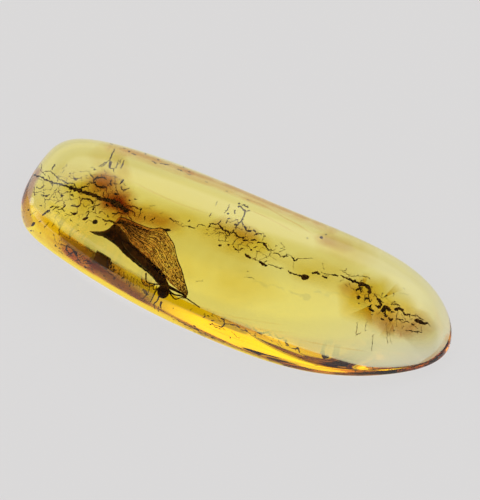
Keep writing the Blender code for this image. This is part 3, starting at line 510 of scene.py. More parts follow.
def tint_material(name, colour, scale):
    """A clear film that colours the light through it, clouded, and thins out to its edges."""
    material, shader, graph = new_material(name, **CLEAR)
    cloud = graph.smooth(graph.noise(scale, 2.0, 0.5), 0.30, 0.70, 0.5, 1.4)
    share = graph.maths('MINIMUM', graph.attribute("strength") * cloud, 1.0)
    graph.feed(shader.inputs["Base Color"], graph.blend(share, (1.0, 1.0, 1.0), colour))
    return material


def veil_material(name, dark, light, cover):
    """A dull film that hides a share of what lies behind it."""
    material, shader, graph = new_material(name, Roughness=0.7, Specular_IOR_Level=0.0)
    share = graph.smooth(graph.noise(1100.0, 2.0), 0.35, 0.65)
    graph.feed(shader.inputs["Base Color"], graph.blend(share, dark, light))
    graph.feed(shader.inputs["Alpha"], graph.attribute("strength") * cover)
    return material


def wing_material():
    """Golden membrane that the light comes through, with dark grain in streaks and rust at its root."""
    material, shader, graph = new_material("wing", **CLEAR)
    along, across = graph.attribute("along"), graph.attribute("across")
    streaks_along, streaks_across = 24.0, 9.0
    sockets = {0: along * streaks_along, 1: across * streaks_across, 2: 0.0}
    place = graph.node("ShaderNodeCombineXYZ", sockets)
    grain = graph.smooth(graph.noise(1.0, 2.0, 0.6, place), 0.44, 0.58)
    patch = graph.smooth(graph.noise(1500.0, 2.0), 0.36, 0.62)
    beside_body = graph.smooth(across + (graph.noise(2600.0, 2.0) - 0.5) * 0.9, -1.0, -0.35, 1.0, 0.0)
    root = graph.smooth(along + (graph.noise(1300.0, 2.0) - 0.5) * 0.5, 0.20, 0.60, 1.0, 0.0)
    base = graph.blend(patch, *FAR_MEMBRANE)
    base = graph.blend(root, base, WING_ROOT)
    dark = graph.maths('MINIMUM', grain * (0.30 + patch * 0.5) + beside_body * (0.45 + grain * 0.6), 1.0)
    graph.feed(shader.inputs["Base Color"], graph.blend(dark, base, WING_GRAIN))
    return material


def dark_wing_material():
    """Dark brown membrane seen nearly edge on, with fine ribs that carry painted golden glints toward its
    top edge.
    """
    material, shader, graph = new_material("near wing", Roughness=0.6, Specular_IOR_Level=0.1)
    along, across = graph.attribute("along"), graph.attribute("across")
    ribs_along, ribs_across = 40.0, 5.0
    place = graph.node("ShaderNodeCombineXYZ", {0: along * ribs_along, 1: across * ribs_across, 2: 0.0})
    ribs = graph.smooth(graph.noise(1.0, 3.0, 0.6, place), 0.42, 0.62)
    share = graph.smooth(graph.noise(1900.0, 4.0, 0.7), 0.36, 0.68)
    base = graph.blend(share, *NEAR_MEMBRANE)
    # Painted glints: gold on the ribs, strongest toward the wing's top edge
    gold = ribs * 0.5 * graph.smooth(across, 0.1, -0.95)
    graph.feed(shader.inputs["Base Color"], graph.blend(gold, base, PAINTED_RIB_GLINT))
    graph.feed(shader.inputs["Alpha"], graph.smooth(across, 0.3, 1.0, 0.98, 0.90))
    graph.feed(shader.inputs["Normal"], graph.bump(ribs, 0.4, 0.015))
    return material


def chitin_material():
    """Dark brown and pitted, for the body, the limbs and the wings' veins."""
    material, shader, graph = new_material("chitin", Roughness=0.5, Specular_IOR_Level=0.12)
    share = graph.smooth(graph.noise(2200.0, 4.0, 0.65), 0.38, 0.68)
    graph.feed(shader.inputs["Base Color"], graph.blend(share, *CHITIN))
    graph.feed(shader.inputs["Normal"], graph.bump(graph.cells(9000.0), 0.4, 0.01))
    return material


def closed_spline(points, count):
    """Points of a closed uniform cubic B-spline: sums of four neighbouring corners, weighed by cubics."""
    corners = np.array(points, dtype=float)
    along = np.linspace(0, len(corners), count, endpoint=False)
    start = np.floor(along).astype(int)
    t = (along - start)[:, None]
    weights = [(1 - t) ** 3, 3 * t ** 3 - 6 * t ** 2 + 4, -3 * t ** 3 + 3 * t ** 2 + 3 * t + 1, t ** 3]
    return sum(w * corners[(start + i - 1) % len(corners)] for i, w in enumerate(weights)) / 6


def evenly(points, count):
    """Points evenly spaced along straight runs between the given ones."""
    length = np.concatenate([[0], np.cumsum(np.linalg.norm(np.diff(points, axis=0), axis=1))])
    even = np.linspace(0, length[-1], count)
    return np.stack([np.interp(even, length, points[:, k]) for k in range(points.shape[1])], 1)


def curve(points, count):
    """Points evenly spaced along a smooth curve through the given ones.

    It is a Catmull-Rom spline: a cubic from b to c, whose slope at b is half the way from a to c and
    whose slope at c is half the way from b to d.
    """
    p = np.array(points, dtype=float)
    p = np.vstack([2 * p[0] - p[1], p, 2 * p[-1] - p[-2]])
    along = np.linspace(0, len(p) - 3, 16 * len(p))
    start = np.minimum(along.astype(int), len(p) - 4)
    t = (along - start)[:, None]
    a, b, c, d = (p[start + i] for i in range(4))
    fine = b + t / 2 * (c - a + t * (2 * a - 5 * b + 4 * c - d + t * (3 * (b - c) + d - a)))
    return evenly(fine, count)


def pairs(numbers):
    """Rows of x and y from numbers that take turns."""
    return np.array(numbers, dtype=float).reshape(-1, 2)


def unit(vectors):
    """The same vectors at length one."""
    return vectors / np.maximum(np.linalg.norm(vectors, axis=1), 1e-9)[:, None]


def direction(azimuth, elevation):
    """The unit vector at an azimuth and an elevation in degrees."""
    turn, tilt = math.radians(azimuth), math.radians(elevation)
    return np.array([math.sin(turn) * math.cos(tilt), -math.cos(turn) * math.cos(tilt), math.sin(tilt)])


def grid_faces(rows, columns):
    """The quads of a grid of points whose columns close on themselves, row by row."""
    row, column = np.meshgrid(np.arange(rows - 1), np.arange(columns), indexing="ij")
    here, right = row * columns + column, row * columns + (column + 1) % columns
    return np.stack([here, right, right + columns, here + columns], -1).reshape(-1, 4)


def make_piece(name, grids, material, replaced=()):
    """One piece from grids of points in millimetres, its doubles merged and its faces turned outwards.

    A grid is its points and the numbers that each point carries: along, across and strength.
    """
    points, faces, carried = [], [], {"along": [], "across": [], "strength": []}
    start = 0
    for grid, numbers in grids:
        rows, columns = grid.shape[:2]
        points.append(grid.reshape(-1, 3))
        faces.append(grid_faces(rows, columns) + start)
        start += rows * columns
        for key, values in carried.items():
            values.append(np.broadcast_to(numbers.get(key, 1.0), (rows, columns)).reshape(-1))
    mesh = bpy.data.meshes.new(name)
    mesh.from_pydata((np.concatenate(points) * MM).tolist(), [], np.concatenate(faces).tolist())
    for key, values in carried.items():
        attribute = mesh.attributes.new(key, 'FLOAT', 'POINT')
        attribute.data.foreach_set("value", np.concatenate(values).astype(np.float32))
    edit = bmesh.new()
    edit.from_mesh(mesh)
    bmesh.ops.remove_doubles(edit, verts=edit.verts, dist=MERGE_DISTANCE)
    bmesh.ops.recalc_face_normals(edit, faces=edit.faces)
    edit.to_mesh(mesh)
    edit.free()
    mesh.shade_smooth()
    mesh.materials.append(material)
    piece = bpy.data.objects.new(name, mesh)
    bpy.context.collection.objects.link(piece)
    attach(piece, "root")
    if replaced:
        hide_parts(*replaced)
    return piece


def amber():
    """The stone: superellipse rings from the flat spot out to the rim, and from it up to the spine.

    A ring at share u lies that far of the way from the spine to the outline. Up to the rim its height is
    the rim's less KEEL * (1 - u ** low) ** (1 / low), cut off at nothing, and past it the rim's plus
    CROWN * (1 - u ** high) ** (1 / high). The thin end's heights shrink by TAPER times the square of the
    way to the end.
    """
    rim_points, flat_rows, keel_rows, crown_rows, smoothing = 320, 8, 26, 56, 14
    loop = closed_spline(OUTLINE, 8000)
    loop = np.roll(loop, -loop[:, 0].argmax(), axis=0)
    left = loop[:, 0].argmin()
    near, far = loop[:left + 1][::-1], np.vstack([loop[left:], loop[:1]])
    middle, reach = (loop[0, 0] + loop[left, 0]) / 2, (loop[0, 0] - loop[left, 0]) / 2
    half = rim_points // 2
    x = middle + reach * np.cos(np.linspace(0, math.pi, half + 1))
    y_far, y_near = np.interp(x, far[:, 0], far[:, 1]), np.interp(x, near[:, 0], near[:, 1])
    spine_x = SPINE_HALF * np.sin(math.pi / 2 * (x - middle) / reach)
    spine_y = np.interp(spine_x, x[::-1], (y_far + y_near)[::-1] / 2)
    around = np.concatenate([np.arange(half + 1), np.arange(half - 1, 0, -1)])
    edge = np.stack([x[around], np.concatenate([y_far, y_near[-2:0:-1]])], 1)
    spine = np.stack([spine_x, spine_y], 1)[around]

    def round_rim(far_values, near_values):
        """Powers at places along X, carried round the rim and evened out over the points beside each."""
        far_run, near_run = np.interp(x, POWER_AT, far_values), np.interp(x, POWER_AT, near_values)
        values = np.concatenate([far_run, near_run[-2:0:-1]])
        return sum(np.roll(values, turn) for turn in range(-smoothing, smoothing + 1)) / (2 * smoothing + 1)

    low, high = round_rim(LOW_POWER, LOW_POWER), round_rim(FAR_POWER, NEAR_POWER)
    flat = (1 - (RIM_HEIGHT / KEEL) ** low) ** (1 / low)
    inner = np.linspace(0, 1, flat_rows, endpoint=False)[:, None] * flat
    keel = flat + (1 - flat) * np.sin(np.linspace(0, math.pi / 2, keel_rows))[:, None]
    crown = np.cos(np.linspace(0, math.pi / 2, crown_rows))[1:, None] ** 0.6 * np.ones_like(flat)
    crown[-1] = 0
    u = np.concatenate([inner, keel, crown])
    below = RIM_HEIGHT - KEEL * (1 - u ** low) ** (1 / low)
    above = RIM_HEIGHT + CROWN * (1 - u ** high) ** (1 / high)
    rising = np.arange(len(u))[:, None] >= len(inner) + keel_rows
    height = np.where(rising, above, np.maximum(below, 0))
    flat_xy = spine + u[..., None] * (edge - spine)
    share = 1 - TAPER * np.clip((flat_xy[..., 0] - TAPER_START) / (reach - TAPER_START), 0, 1) ** 2
    points = np.concatenate([flat_xy, (height * share)[..., None]], -1)
    return make_piece("amber", [(points, {})], amber_material(), ("amber_upper", "amber_lower"))


def camera_axes():
    """Unit vectors from the target to the camera, to the right and up in the picture."""
    toward, turn = direction(CAMERA_AZIMUTH, CAMERA_ELEVATION), math.radians(CAMERA_AZIMUTH)
    right = np.array([math.cos(turn), math.sin(turn), 0.0])
    return toward, right, np.cross(toward, right)


class Seen:
    """Finds the point in the stone that shows at a pixel of the photograph, at a given height."""

    LEAST, MOST = 0.12, 20.0     # how far in millimetres a point lies along its ray under the skin

    def __init__(self, stone):
        self.tree = BVHTree.FromObject(stone, bpy.context.evaluated_depsgraph_get())
        self.toward, self.right, self.up = camera_axes()

    def ray(self, x, y):
        """The camera's place, and the way from it through a pixel."""
        eye = CAMERA_TARGET + self.toward * CAMERA_DISTANCE
        across, upward = (x - FRAME_WIDTH / 2) / PIXELS_PER_MM, (FRAME_HEIGHT / 2 - y) / PIXELS_PER_MM
        return eye, CAMERA_TARGET + self.right * across + self.up * upward - eye

    def skin(self, eye, ray):
        """The point of the polished skin that a ray meets and its normal, or nothing where it misses."""
        hit, normal, _face, _far = self.tree.ray_cast(Vector(eye * MM), Vector(ray))
        return hit and (np.array(hit) / MM, np.array(normal))

    def point(self, x, y, height, slope, deepest=MOST):
        """The ray through a pixel, bent by Snell's law at the skin, where it meets height + slope * x."""
        eye, ray = self.ray(x, y)
        ray /= np.linalg.norm(ray)
        found = self.skin(eye, ray)
        if found is None:
            raise ValueError(f"pixel {x}, {y} misses the stone")
        hit, normal = found
        cosine = -ray @ normal
        turned = cosine / AMBER_IOR - math.sqrt(1 - (1 - cosine ** 2) / AMBER_IOR ** 2)
        bent = ray / AMBER_IOR + normal * turned
        down = (height + slope * hit[0] - hit[2]) / (bent[2] - slope * bent[0])
        return hit + bent * min(max(down, self.LEAST), deepest)

    def path(self, numbers, height=LAYER_HEIGHT, slope=LAYER_SLOPE, deepest=MOST):
        """The points that show at the pixels x, y, x, y and so on."""
        return np.array([self.point(*pixel, height, slope, deepest) for pixel in pairs(numbers)])

    def smooth_path(self, numbers, count, *place):
        """The points that show along a smooth curve through the pixels."""
        return self.path(curve(pairs(numbers), count), *place)


def skin(middle, reach, lift, around, arch=0.0):
    """A closed skin: each cross-section is an ellipse with half axes reach and lift, and arch bows it up.

    At turn t a point is middle - cos(t) * reach + sin(t) * lift, raised by arch * (1 - cos(t) ** 2).
    The first and last cross-sections are drawn together to their middles.
    """
    turn = np.linspace(0, 2 * math.pi, around, endpoint=False)[None, :, None]
    bow = (np.zeros(len(middle)) + arch)[:, None, None] * (1 - np.cos(turn) ** 2)
    grid = middle[:, None] - np.cos(turn) * reach[:, None] + np.sin(turn) * lift[:, None]
    grid = grid + bow * unit(lift)[:, None]
    ends = np.broadcast_to(middle[[0, -1], None], (2, around, 3))
    grid = np.concatenate([ends[:1], grid, ends[1:]])
    rows = len(grid)
    along = np.concatenate([[0], np.linspace(0, 1, rows - 2), [1]])[:, None]
    return grid, {"along": along, "across": -np.cos(turn)[..., 0]}


def ribbon(path, half_width, half_thickness, around=6):
    """A skin along a path that lies flat: half_width to each side of it, half_thickness up and down."""
    heading = np.gradient(path, axis=0)
    side = unit(np.cross(heading, (0.0, 0.0, 1.0)))
    upward = unit(np.cross(side, heading))
    width = (np.zeros(len(path)) + half_width)[:, None]
    thick = (np.zeros(len(path)) + half_thickness)[:, None]
    return skin(path, side * width, upward * thick, around)


def spurs(path, half, random, number, longest):
    """Thin thorns that leave a crack at random places, each bent once and drawn out to a point."""
    thinning = np.array([0.8, 0.5, 0.36, 0.24, 0.08])
    parts = []
    for _ in range(number):
        k = random.integers(0, len(path))
        turn = random.uniform(0, 2 * math.pi)
        bend = turn + random.uniform(-0.8, 0.8)
        reach = random.uniform(0.4, 1.0) * longest / PIXELS_PER_MM
        step = np.array([[math.cos(way), math.sin(way), 0.0] for way in (turn, bend)]) * reach / 2
        thorn = evenly(np.array([path[k], path[k] + step[0], path[k] + step.sum(0)]), len(thinning))
        width = np.clip(half[k], 0.014, 0.05)
        parts.append(ribbon(thorn, width * thinning, width * 0.3, 5))
    return parts


def crack(seen, line, random, **where):
    """A jagged crack with thorns: it wanders, swells where it bends, thins between and ends in points.

    Its half width is scaled by thin + swell * exp(-(distance to the nearest corner / bead) ** 2), with
    distances in pixels of the photograph.
    """
    points_per_pixel, wander, thin, swell, bead = 1.3, 0.30, 0.42, 0.60, 1.6
    thorn_spacing, longest_thorn = 2.4, 2.8
    width, points = line[0], pairs(line[1:])
    span = np.linalg.norm(np.diff(points, axis=0), axis=1).sum()
    count = int(max(6, span * points_per_pixel))
    pixels = evenly(points, count) + random.normal(0, wander, (count, 2))
    path = seen.path(pixels, **where)
    path[:, 2] += random.uniform(-0.05, 0.05)
    t = np.linspace(0, 1, count)
    corners = np.linspace(0, 1, len(points))
    beads = np.exp(-((t[:, None] - corners) * span / bead) ** 2).max(1)
    scale = (thin + swell * beads) * random.uniform(0.7, 1.3, count)
    half = width / 2 / PIXELS_PER_MM * scale * np.clip(np.minimum(t, 1 - t) * 8 + 0.3, 0, 1)
    thorns = spurs(path, half, random, int(span / thorn_spacing + 0.6), longest_thorn)
    return [ribbon(path, half * 1.1, half * 0.7)] + thorns


def inside(points, corners):
    """Which points an outline holds: those whose line along X crosses it an odd number of times."""
    following = np.roll(corners, -1, axis=0)
    rise = (corners[:, 1] > points[:, 1:]) != (following[:, 1] > points[:, 1:])
    share = (points[:, 1:] - corners[:, 1]) / (following[:, 1] - corners[:, 1] + 1e-9)
    crossed = points[:, :1] < corners[:, 0] + share * (following[:, 0] - corners[:, 0])
    return (rise & crossed).sum(1) % 2 == 1


def web(seen, outline, spacing, keep, width, random):
    """A net of thin cracks inside an outline: the walls between cells grown from scattered seeds.

    The seeds are a jittered grid of points. A wall joins the circumcentres of two neighbouring
    triangles of seeds, so three walls meet at each knot, and a share of the walls is kept.
    """
    corners = pairs(outline)
    low, high = corners.min(0) - 2 * spacing, corners.max(0) + 2 * spacing
    grid = np.stack(np.meshgrid(*(np.arange(a, b, spacing) for a, b in zip(low, high))), -1).reshape(-1, 2)
    seeds = grid + random.uniform(-0.42, 0.42, grid.shape) * spacing
    _points, _edges, triangles, *_rest = delaunay_2d_cdt([Vector(s) for s in seeds], [], [], 0, 1e-6)
    a, b, c = (seeds[np.array(triangles)[:, k]] for k in range(3))
    ab, ac = b - a, c - a
    cross = 2 * (ab[:, 0] * ac[:, 1] - ab[:, 1] * ac[:, 0])
    squares = np.stack([(ab ** 2).sum(1), (ac ** 2).sum(1)], 1)
    centres = a + np.stack([ac[:, 1] * squares[:, 0] - ab[:, 1] * squares[:, 1],
                            ab[:, 0] * squares[:, 1] - ac[:, 0] * squares[:, 0]], 1) / cross[:, None]
    held = inside(centres, corners)
    owner, parts = {}, []
    for number, triangle in enumerate(triangles):
        for side in ((0, 1), (1, 2), (2, 0)):
            edge = tuple(sorted((triangle[side[0]], triangle[side[1]])))
            other = owner.setdefault(edge, number)
            short = np.linalg.norm(centres[number] - centres[other]) < 1.6 * spacing
            if other != number and held[number] and held[other] and short and random.uniform() < keep:
                line = [width * random.uniform(0.6, 1.4), *centres[other], *centres[number]]
                parts += crack(seen, line, random)
    return parts


def lump(seen, numbers, random, flat=0.7, rough=0.16):
    """A ragged grain: an ellipsoid whose half width is swelled and thinned by three sine waves.

    The half width at share t of the length is that of an ellipse, half * sqrt(4 * t * (1 - t)), and each
    wave starts at a random angle.
    """
    rows, thinnest = 11, 0.002
    length, width, turn, x, y = numbers
    c, s = math.cos(math.radians(turn)), math.sin(math.radians(turn))
    start, stop = seen.path([x - c * length / 2, y - s * length / 2, x + c * length / 2, y + s * length / 2])
    t = (1 - np.cos(np.linspace(0, math.pi, rows))) / 2
    path = start + t[:, None] * (stop - start)
    swell = 1 + rough * sum(np.sin(t * f + random.uniform(0, 6)) for f in (5, 11, 17)) / 2
    half = width / 2 / PIXELS_PER_MM * np.sqrt(np.maximum(4 * t * (1 - t), 0)) * swell * 1.15
    path[:, :2] += random.normal(0, 0.05 * width / PIXELS_PER_MM, (rows, 2))
    return ribbon(path, np.maximum(half, thinnest), np.maximum(half * flat, thinnest), 10)


def film(seen, line, height):
    """A soft film that lies along the flow layer's slope, through a height at the middle.

    Its strength falls to nothing at its sides and ends: it is the full strength times 6 * a * (1 - a), at
    most 1, times (1 - c ** 2) ** 1.4, with a the share along the film and c the share across it.
    """
    rows, thickness = 24, 0.012
    strength, half = line[0], line[1] / PIXELS_PER_MM
    path = seen.smooth_path(line[2:], rows, height)
    t = np.linspace(0, 1, rows)
    width = half * np.clip(np.sin(math.pi * np.clip(t, 0.04, 0.96)) * 1.8, 0.1, 1)
    grid, numbers = ribbon(path, width, thickness, 24)
    fade = np.clip(6 * numbers["along"] * (1 - numbers["along"]), 0, 1) * (1 - numbers["across"] ** 2) ** 1.4
    numbers["strength"] = strength * fade
    return grid, numbers


def flank_sheet(seen, upper, lower, strength, depth, soft):
    """A thin closed sheet just under the polished skin, between two lines of the photograph.

    Its top runs from the upper line to the lower one and its underside runs back, a little deeper. Where
    a pixel misses the stone, the point beside it is used again. The strength fades by sin(pi * t) to the
    power of soft, along and across.
    """
    rows, columns, thickness = 40, 13, 0.015
    first, last = curve(pairs(upper), rows), curve(pairs(lower), rows)
    v = np.linspace(0, 1, columns)
    pixels = first[:, None] + v[None, :, None] * (last - first)[:, None]
    middle = columns // 2
    order = [*range(middle, -1, -1), *range(middle, columns)]
    top, normal = np.zeros((rows, columns, 3)), np.zeros((rows, columns, 3))
    for row in range(rows):
        for column in order:
            found = seen.skin(*seen.ray(*pixels[row, column]))
            beside = column + (1 if column < middle else -1)
            top[row, column], normal[row, column] = found or (top[row, beside], normal[row, beside])
    outer, inner = top - depth * normal, top - (depth + thickness) * normal
    grid = np.concatenate([outer, inner[:, ::-1]], 1)
    ends = [np.broadcast_to(grid[k, middle], grid[k].shape) for k in (0, -1)]
    grid = np.concatenate([ends[0][None], grid, ends[1][None]])
    t = np.concatenate([[0], np.linspace(0, 1, rows), [1]])[:, None]
    across = np.concatenate([v, v[::-1]])[None]
    fade = np.sin(math.pi * t) ** soft[0] * np.sin(math.pi * across) ** soft[1]
    return grid, {"along": t, "across": across, "strength": strength * np.clip(fade * 1.4, 0, 1)}


def flank_film(seen, line):
    """A film just under the skin, half a width to each side of a line of the photograph."""
    depth, soft = 0.06, (0.35, 1)
    strength, half, points = line[0], line[1], curve(pairs(line[2:]), 24)
    heading = np.gradient(points, axis=0)
    side = np.stack([-heading[:, 1], heading[:, 0]], 1) / np.linalg.norm(heading, axis=1)[:, None]
    return flank_sheet(seen, points - half * side, points + half * side, strength, depth, soft)


def join_cracks(seen, lines, random, **where):
    """The parts of many cracks in one list."""
    return [part for line in lines for part in crack(seen, line, random, **where)]


def inclusions(seen):
    """The crack webs, the debris trail and the stains in the flow layer, and the films under the skin, among
    them painted shade and a painted reflection of the near wing.
    """
    random = np.random.default_rng(4)
    dark, brown = stained("dark stain", *DARK_STAIN), stained("brown stain", *BROWN_STAIN)
    red = stained("red stain", *RED_STAIN)
    left = join_cracks(seen, VEIN + LEFT_CRACKS, random)
    knots = [lump(seen, knot, random) for knot in KNOTS]
    middle = join_cracks(seen, MIDDLE_CRACKS + CENTRE_CRACKS, random)
    make_piece("left_cracks", left, dark, ("left_crack_web",))
    make_piece("red_cracks", join_cracks(seen, RED_CRACKS, random), red)
    make_piece("top_cracks", join_cracks(seen, TOP_CRACKS, random, deepest=0.5), dark)
    make_piece("centre_cracks", middle, dark, ("centre_crack_web",))
    make_piece("faint_cracks", join_cracks(seen, FAINT_CRACKS, random), brown)
    make_piece("knots", knots, dark)
    trail = join_cracks(seen, TRAIL, random) + [lump(seen, BALL, random, flat=0.9, rough=0.05)]
    names = [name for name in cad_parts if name.startswith("debris")]
    make_piece("debris_trail", trail, dark, names)
    for name, (outline, spacing, keep, width) in NETS.items():
        make_piece(f"fine_net_{name}", web(seen, outline, spacing, keep, width, random), brown)
    tints = {name: tint_material(f"{name} tint", *look) for name, look in TINTS.items()}
    for name, lines, tint in (("rust_stain", RUST, "rust"), ("honey_stain", HONEY, "honey"),
                              ("flow_lines", FLOW_LINES, "peach")):
        films = [film(seen, line, LAYER_HEIGHT - 0.12 - 0.02 * k) for k, line in enumerate(lines)]
        make_piece(name, films, tints[tint])
    for name, lines, tint in (("top_gold", TOP_GOLD, "honey"), ("rim_stain_and_shade", RIM_STAIN_AND_SHADE, "peach"),
                              ("end_rose_tint", END_ROSE_TINT, "rose"), ("foot_painted_shade", FOOT_PAINTED_SHADE, "tan"),
                              ("gold_edge", GOLD_EDGE, "honey")):
        make_piece(name, [flank_film(seen, line) for line in lines], tints[tint])
    # Painted reflection of the near wing in the foot of the near flank, as a tinted sheet
    make_piece("painted_wing_reflection", [flank_sheet(seen, *BROWN, 0.9, 0.18, (0.15, 0.3))], tints["tan"])
    # Dull sheets; the last two paint the near wing's reflection in the near flank
    for name, (upper, lower, depth, soft, *look) in VEILS.items():
        veil = veil_material(name.replace("_", " "), *look)
        make_piece(name, [flank_sheet(seen, upper, lower, 1.0, depth, soft)], veil)
    # Specks on the far rim and near flank, with the painted reflection of the near wing's ribs
    specks = join_cracks(seen, RIM_SPECKS + FLANK_RIB_REFLECTION_AND_SPECKS, random, deepest=0.16)
    make_piece("skin_specks_and_rib_reflection", specks, dark)


def far_wing(seen, random, chitin):
    """The broad wing that is seen from above: a bowed skin, with veins and scales on its upper face."""
    count = 60
    root = seen.smooth_path(FAR_ROOT, count, WING_HEIGHT, 0.0)
    margin = seen.smooth_path(FAR_MARGIN, count, WING_HEIGHT - 0.1, 0.0)
    middle, reach = (root + margin) / 2, (margin - root) / 2
    t = np.linspace(0, 1, count)
    arch = FAR_ARCH * np.sin(math.pi * t)
    wing = skin(middle, reach, np.tile((0.0, 0.0, MEMBRANE), (count, 1)), 64, arch)
    make_piece("far_wing", [wing], wing_material())

    def on_wing(along, across):
        """Points of the upper face: middle + across * reach, bowed up by arch * (1 - across ** 2)."""
        core = np.stack([np.interp(along, t, middle[:, k]) for k in range(3)], 1)
        out = np.stack([np.interp(along, t, reach[:, k]) for k in range(3)], 1)
        rise = MEMBRANE + np.interp(along, t, arch) * (1 - across ** 2)
        return core + out * across[:, None] + rise[:, None] * np.array([0.0, 0.0, 1.0])

    # Long veins that spread from the root, the thick margin, then short cross veins
    veins = []
    s = np.linspace(0, 1, 40)
    for number, goal in enumerate(np.linspace(-0.92, 0.97, LONG_VEINS)):
        across = goal * s ** 0.35 + 0.03 * np.sin(s * 21 + number * 2.1)
        veins.append(ribbon(on_wing(0.02 + 0.95 * s, across), 0.022 * (1.15 - s), 0.012, 4))
    edge = on_wing(0.10 + 0.89 * s, 0.985 + 0 * s)
    veins.append(ribbon(edge, 0.034 * (0.7 + 0.3 * np.sin(s * 60) ** 2), 0.016, 5))
    four = np.linspace(0, 1, 4)
    for _ in range(CROSS_VEINS):
        along, across = random.uniform(0.1, 0.97), random.uniform(-1.0, 0.9)
        lean, long = random.uniform(-0.02, 0.02), random.uniform(0.05, 0.13)
        cross = on_wing(along + lean * four, across + long * four + random.normal(0, 0.012, 4))
        veins.append(ribbon(cross, 0.013, 0.008, 4))
    scales = []
    three, shape = np.linspace(0, 1, 3), np.array([0.5, 1.0, 0.6])
    for _ in range(WING_SCALES):
        along, across = random.uniform(0.02, 0.98), 1.0 - 1.98 * random.uniform() ** 0.7
        long, lean = random.uniform(0.008, 0.022), random.uniform(-0.03, 0.03)
        flake = on_wing(along + long * three, across + lean * three)
        flake[:, 2] += 0.012 + random.uniform(0, 0.02)
        scales.append(ribbon(flake, random.uniform(0.012, 0.036) * shape, 0.004, 4))
    make_piece("wing_veins", veins, chitin)
    make_piece("wing_scales", scales, stained("scale", *SCALE, 0.5, 6000.0))


def near_wing(seen):
    """The wing that is seen nearly edge on, a skin between its top and its foot."""
    count = 60
    top = seen.smooth_path(NEAR_TOP, count, WING_HEIGHT, 0.0)
    foot = seen.smooth_path(NEAR_FOOT, count, FOOT_HEIGHT, 0.0)
    middle, reach = (top + foot) / 2, (foot - top) / 2
    side = unit(np.cross(np.gradient(middle, axis=0), reach))
    wing = skin(middle, reach, side * MEMBRANE, 48, NEAR_ARCH * np.sin(math.pi * np.linspace(0, 1, count)))
    make_piece("near_wing", [wing], dark_wing_material())


def body(seen, chitin):
    """Neck, thorax and ringed abdomen in one skin under the wings' root, and the head and eyes as balls."""
    rows, abdomen_start = 90, 0.42
    line = curve(pairs(BODY), rows)
    s = np.linspace(0, 1, rows)
    heights = HEAD_HEIGHT + (BODY_HEIGHT - HEAD_HEIGHT) * np.clip(s / 0.3, 0, 1)
    path = np.array([seen.point(*pixel, z, 0.0) for pixel, z in zip(line, heights)])
    r = np.interp(s, BODY_ALONG, BODY_RADII) / PIXELS_PER_MM
    r = r * np.where(s > abdomen_start, 1 + 0.07 * np.abs(np.sin(s * 26.0)), 1.0)
    parts = [ribbon(path, r, r, 20)]
    head = seen.path(HEAD, HEAD_HEIGHT, 0.0)[0]
    ball = -np.cos(np.linspace(0, math.pi, 17))
    disc = np.sqrt(1.0001 - ball ** 2)
    parts.append(ribbon(head + np.outer(ball, (0.0, 0.36, 0.06)), 0.38 * disc, 0.34 * disc, 20))
    for turn in (-1, 1):
        eye = head + np.array([0.18 * turn, -0.12, 0.10])
        parts.append(ribbon(eye + np.outer(ball, (0.0, 0.15, 0.03)), 0.15 * disc, 0.13 * disc, 14))
    make_piece("body", parts, chitin, ("insect",))


def limbs(seen, random, chitin):
    """Antennae and legs that run from the head out to the skin, with hairs, and the wing's leading edge."""
    parts, rows = [], 40
    for width, *pixels in ANTENNAE + LEGS:
        path = seen.smooth_path(pixels, rows, HEAD_HEIGHT - 0.2, 0.0)
        tips = seen.smooth_path(pixels, rows, 0.0, 0.0, SKIN_DEPTH)
        path += np.linspace(0, 1, rows)[:, None] * (tips - path)
        rings = 1 + 0.1 * np.sin(np.linspace(0, 40, rows))
        half = width / 2 / PIXELS_PER_MM * np.linspace(1.1, 0.6, rows) * rings
        parts.append(ribbon(path, half, half, 8))
        for k in range(2, rows - 2, 2):
            out = random.normal(0, 1, 3)
            hair = path[k] + np.outer(np.linspace(0, 0.09, 3), out / np.linalg.norm(out))
            parts.append(ribbon(hair, [0.008, 0.005, 0.001], 0.005, 3))
    # The wing's leading edge, a dark vein that also paints the shade along it
    for width, *pixels in LEADING_EDGE_AND_SHADE:
        path = seen.smooth_path(pixels, 24, WING_HEIGHT - 0.1, 0.0)
        half = width / 2 / PIXELS_PER_MM * np.linspace(1.0, 0.35, 24)
        parts.append(ribbon(path, half, half * 0.6, 8))
    make_piece("limbs", parts, chitin)


def insect(seen):
    """The insect, grown together in life: wings, body, then limbs."""
    random, chitin = np.random.default_rng(9), chitin_material()
    far_wing(seen, random, chitin)
    near_wing(seen)
    body(seen, chitin)
    limbs(seen, random, chitin)


def camera_and_bounces():
    """The camera at its place, and how far light is followed through the stone."""
    toward = camera_axes()[0]
    camera = bpy.data.cameras.new("camera")
    camera.sensor_fit = 'HORIZONTAL'
    camera.sensor_width = SENSOR
    camera.lens = PIXELS_PER_MM * CAMERA_DISTANCE / FRAME_WIDTH * SENSOR
    camera.clip_start, camera.clip_end = 0.01, 10.0
    holder = bpy.data.objects.new("camera", camera)
    bpy.context.collection.objects.link(holder)
    holder.location = (CAMERA_TARGET + toward * CAMERA_DISTANCE) * MM
    holder.rotation_euler = Vector(toward).to_track_quat('Z', 'Y').to_euler()
    scene = bpy.context.scene
    scene.camera = holder
    scene.view_settings.view_transform = 'Standard'
    scene.cycles.max_bounces = BOUNCES
    scene.cycles.transmission_bounces = BOUNCES
    scene.cycles.glossy_bounces = BOUNCES
    scene.cycles.transparent_max_bounces = SEE_THROUGH


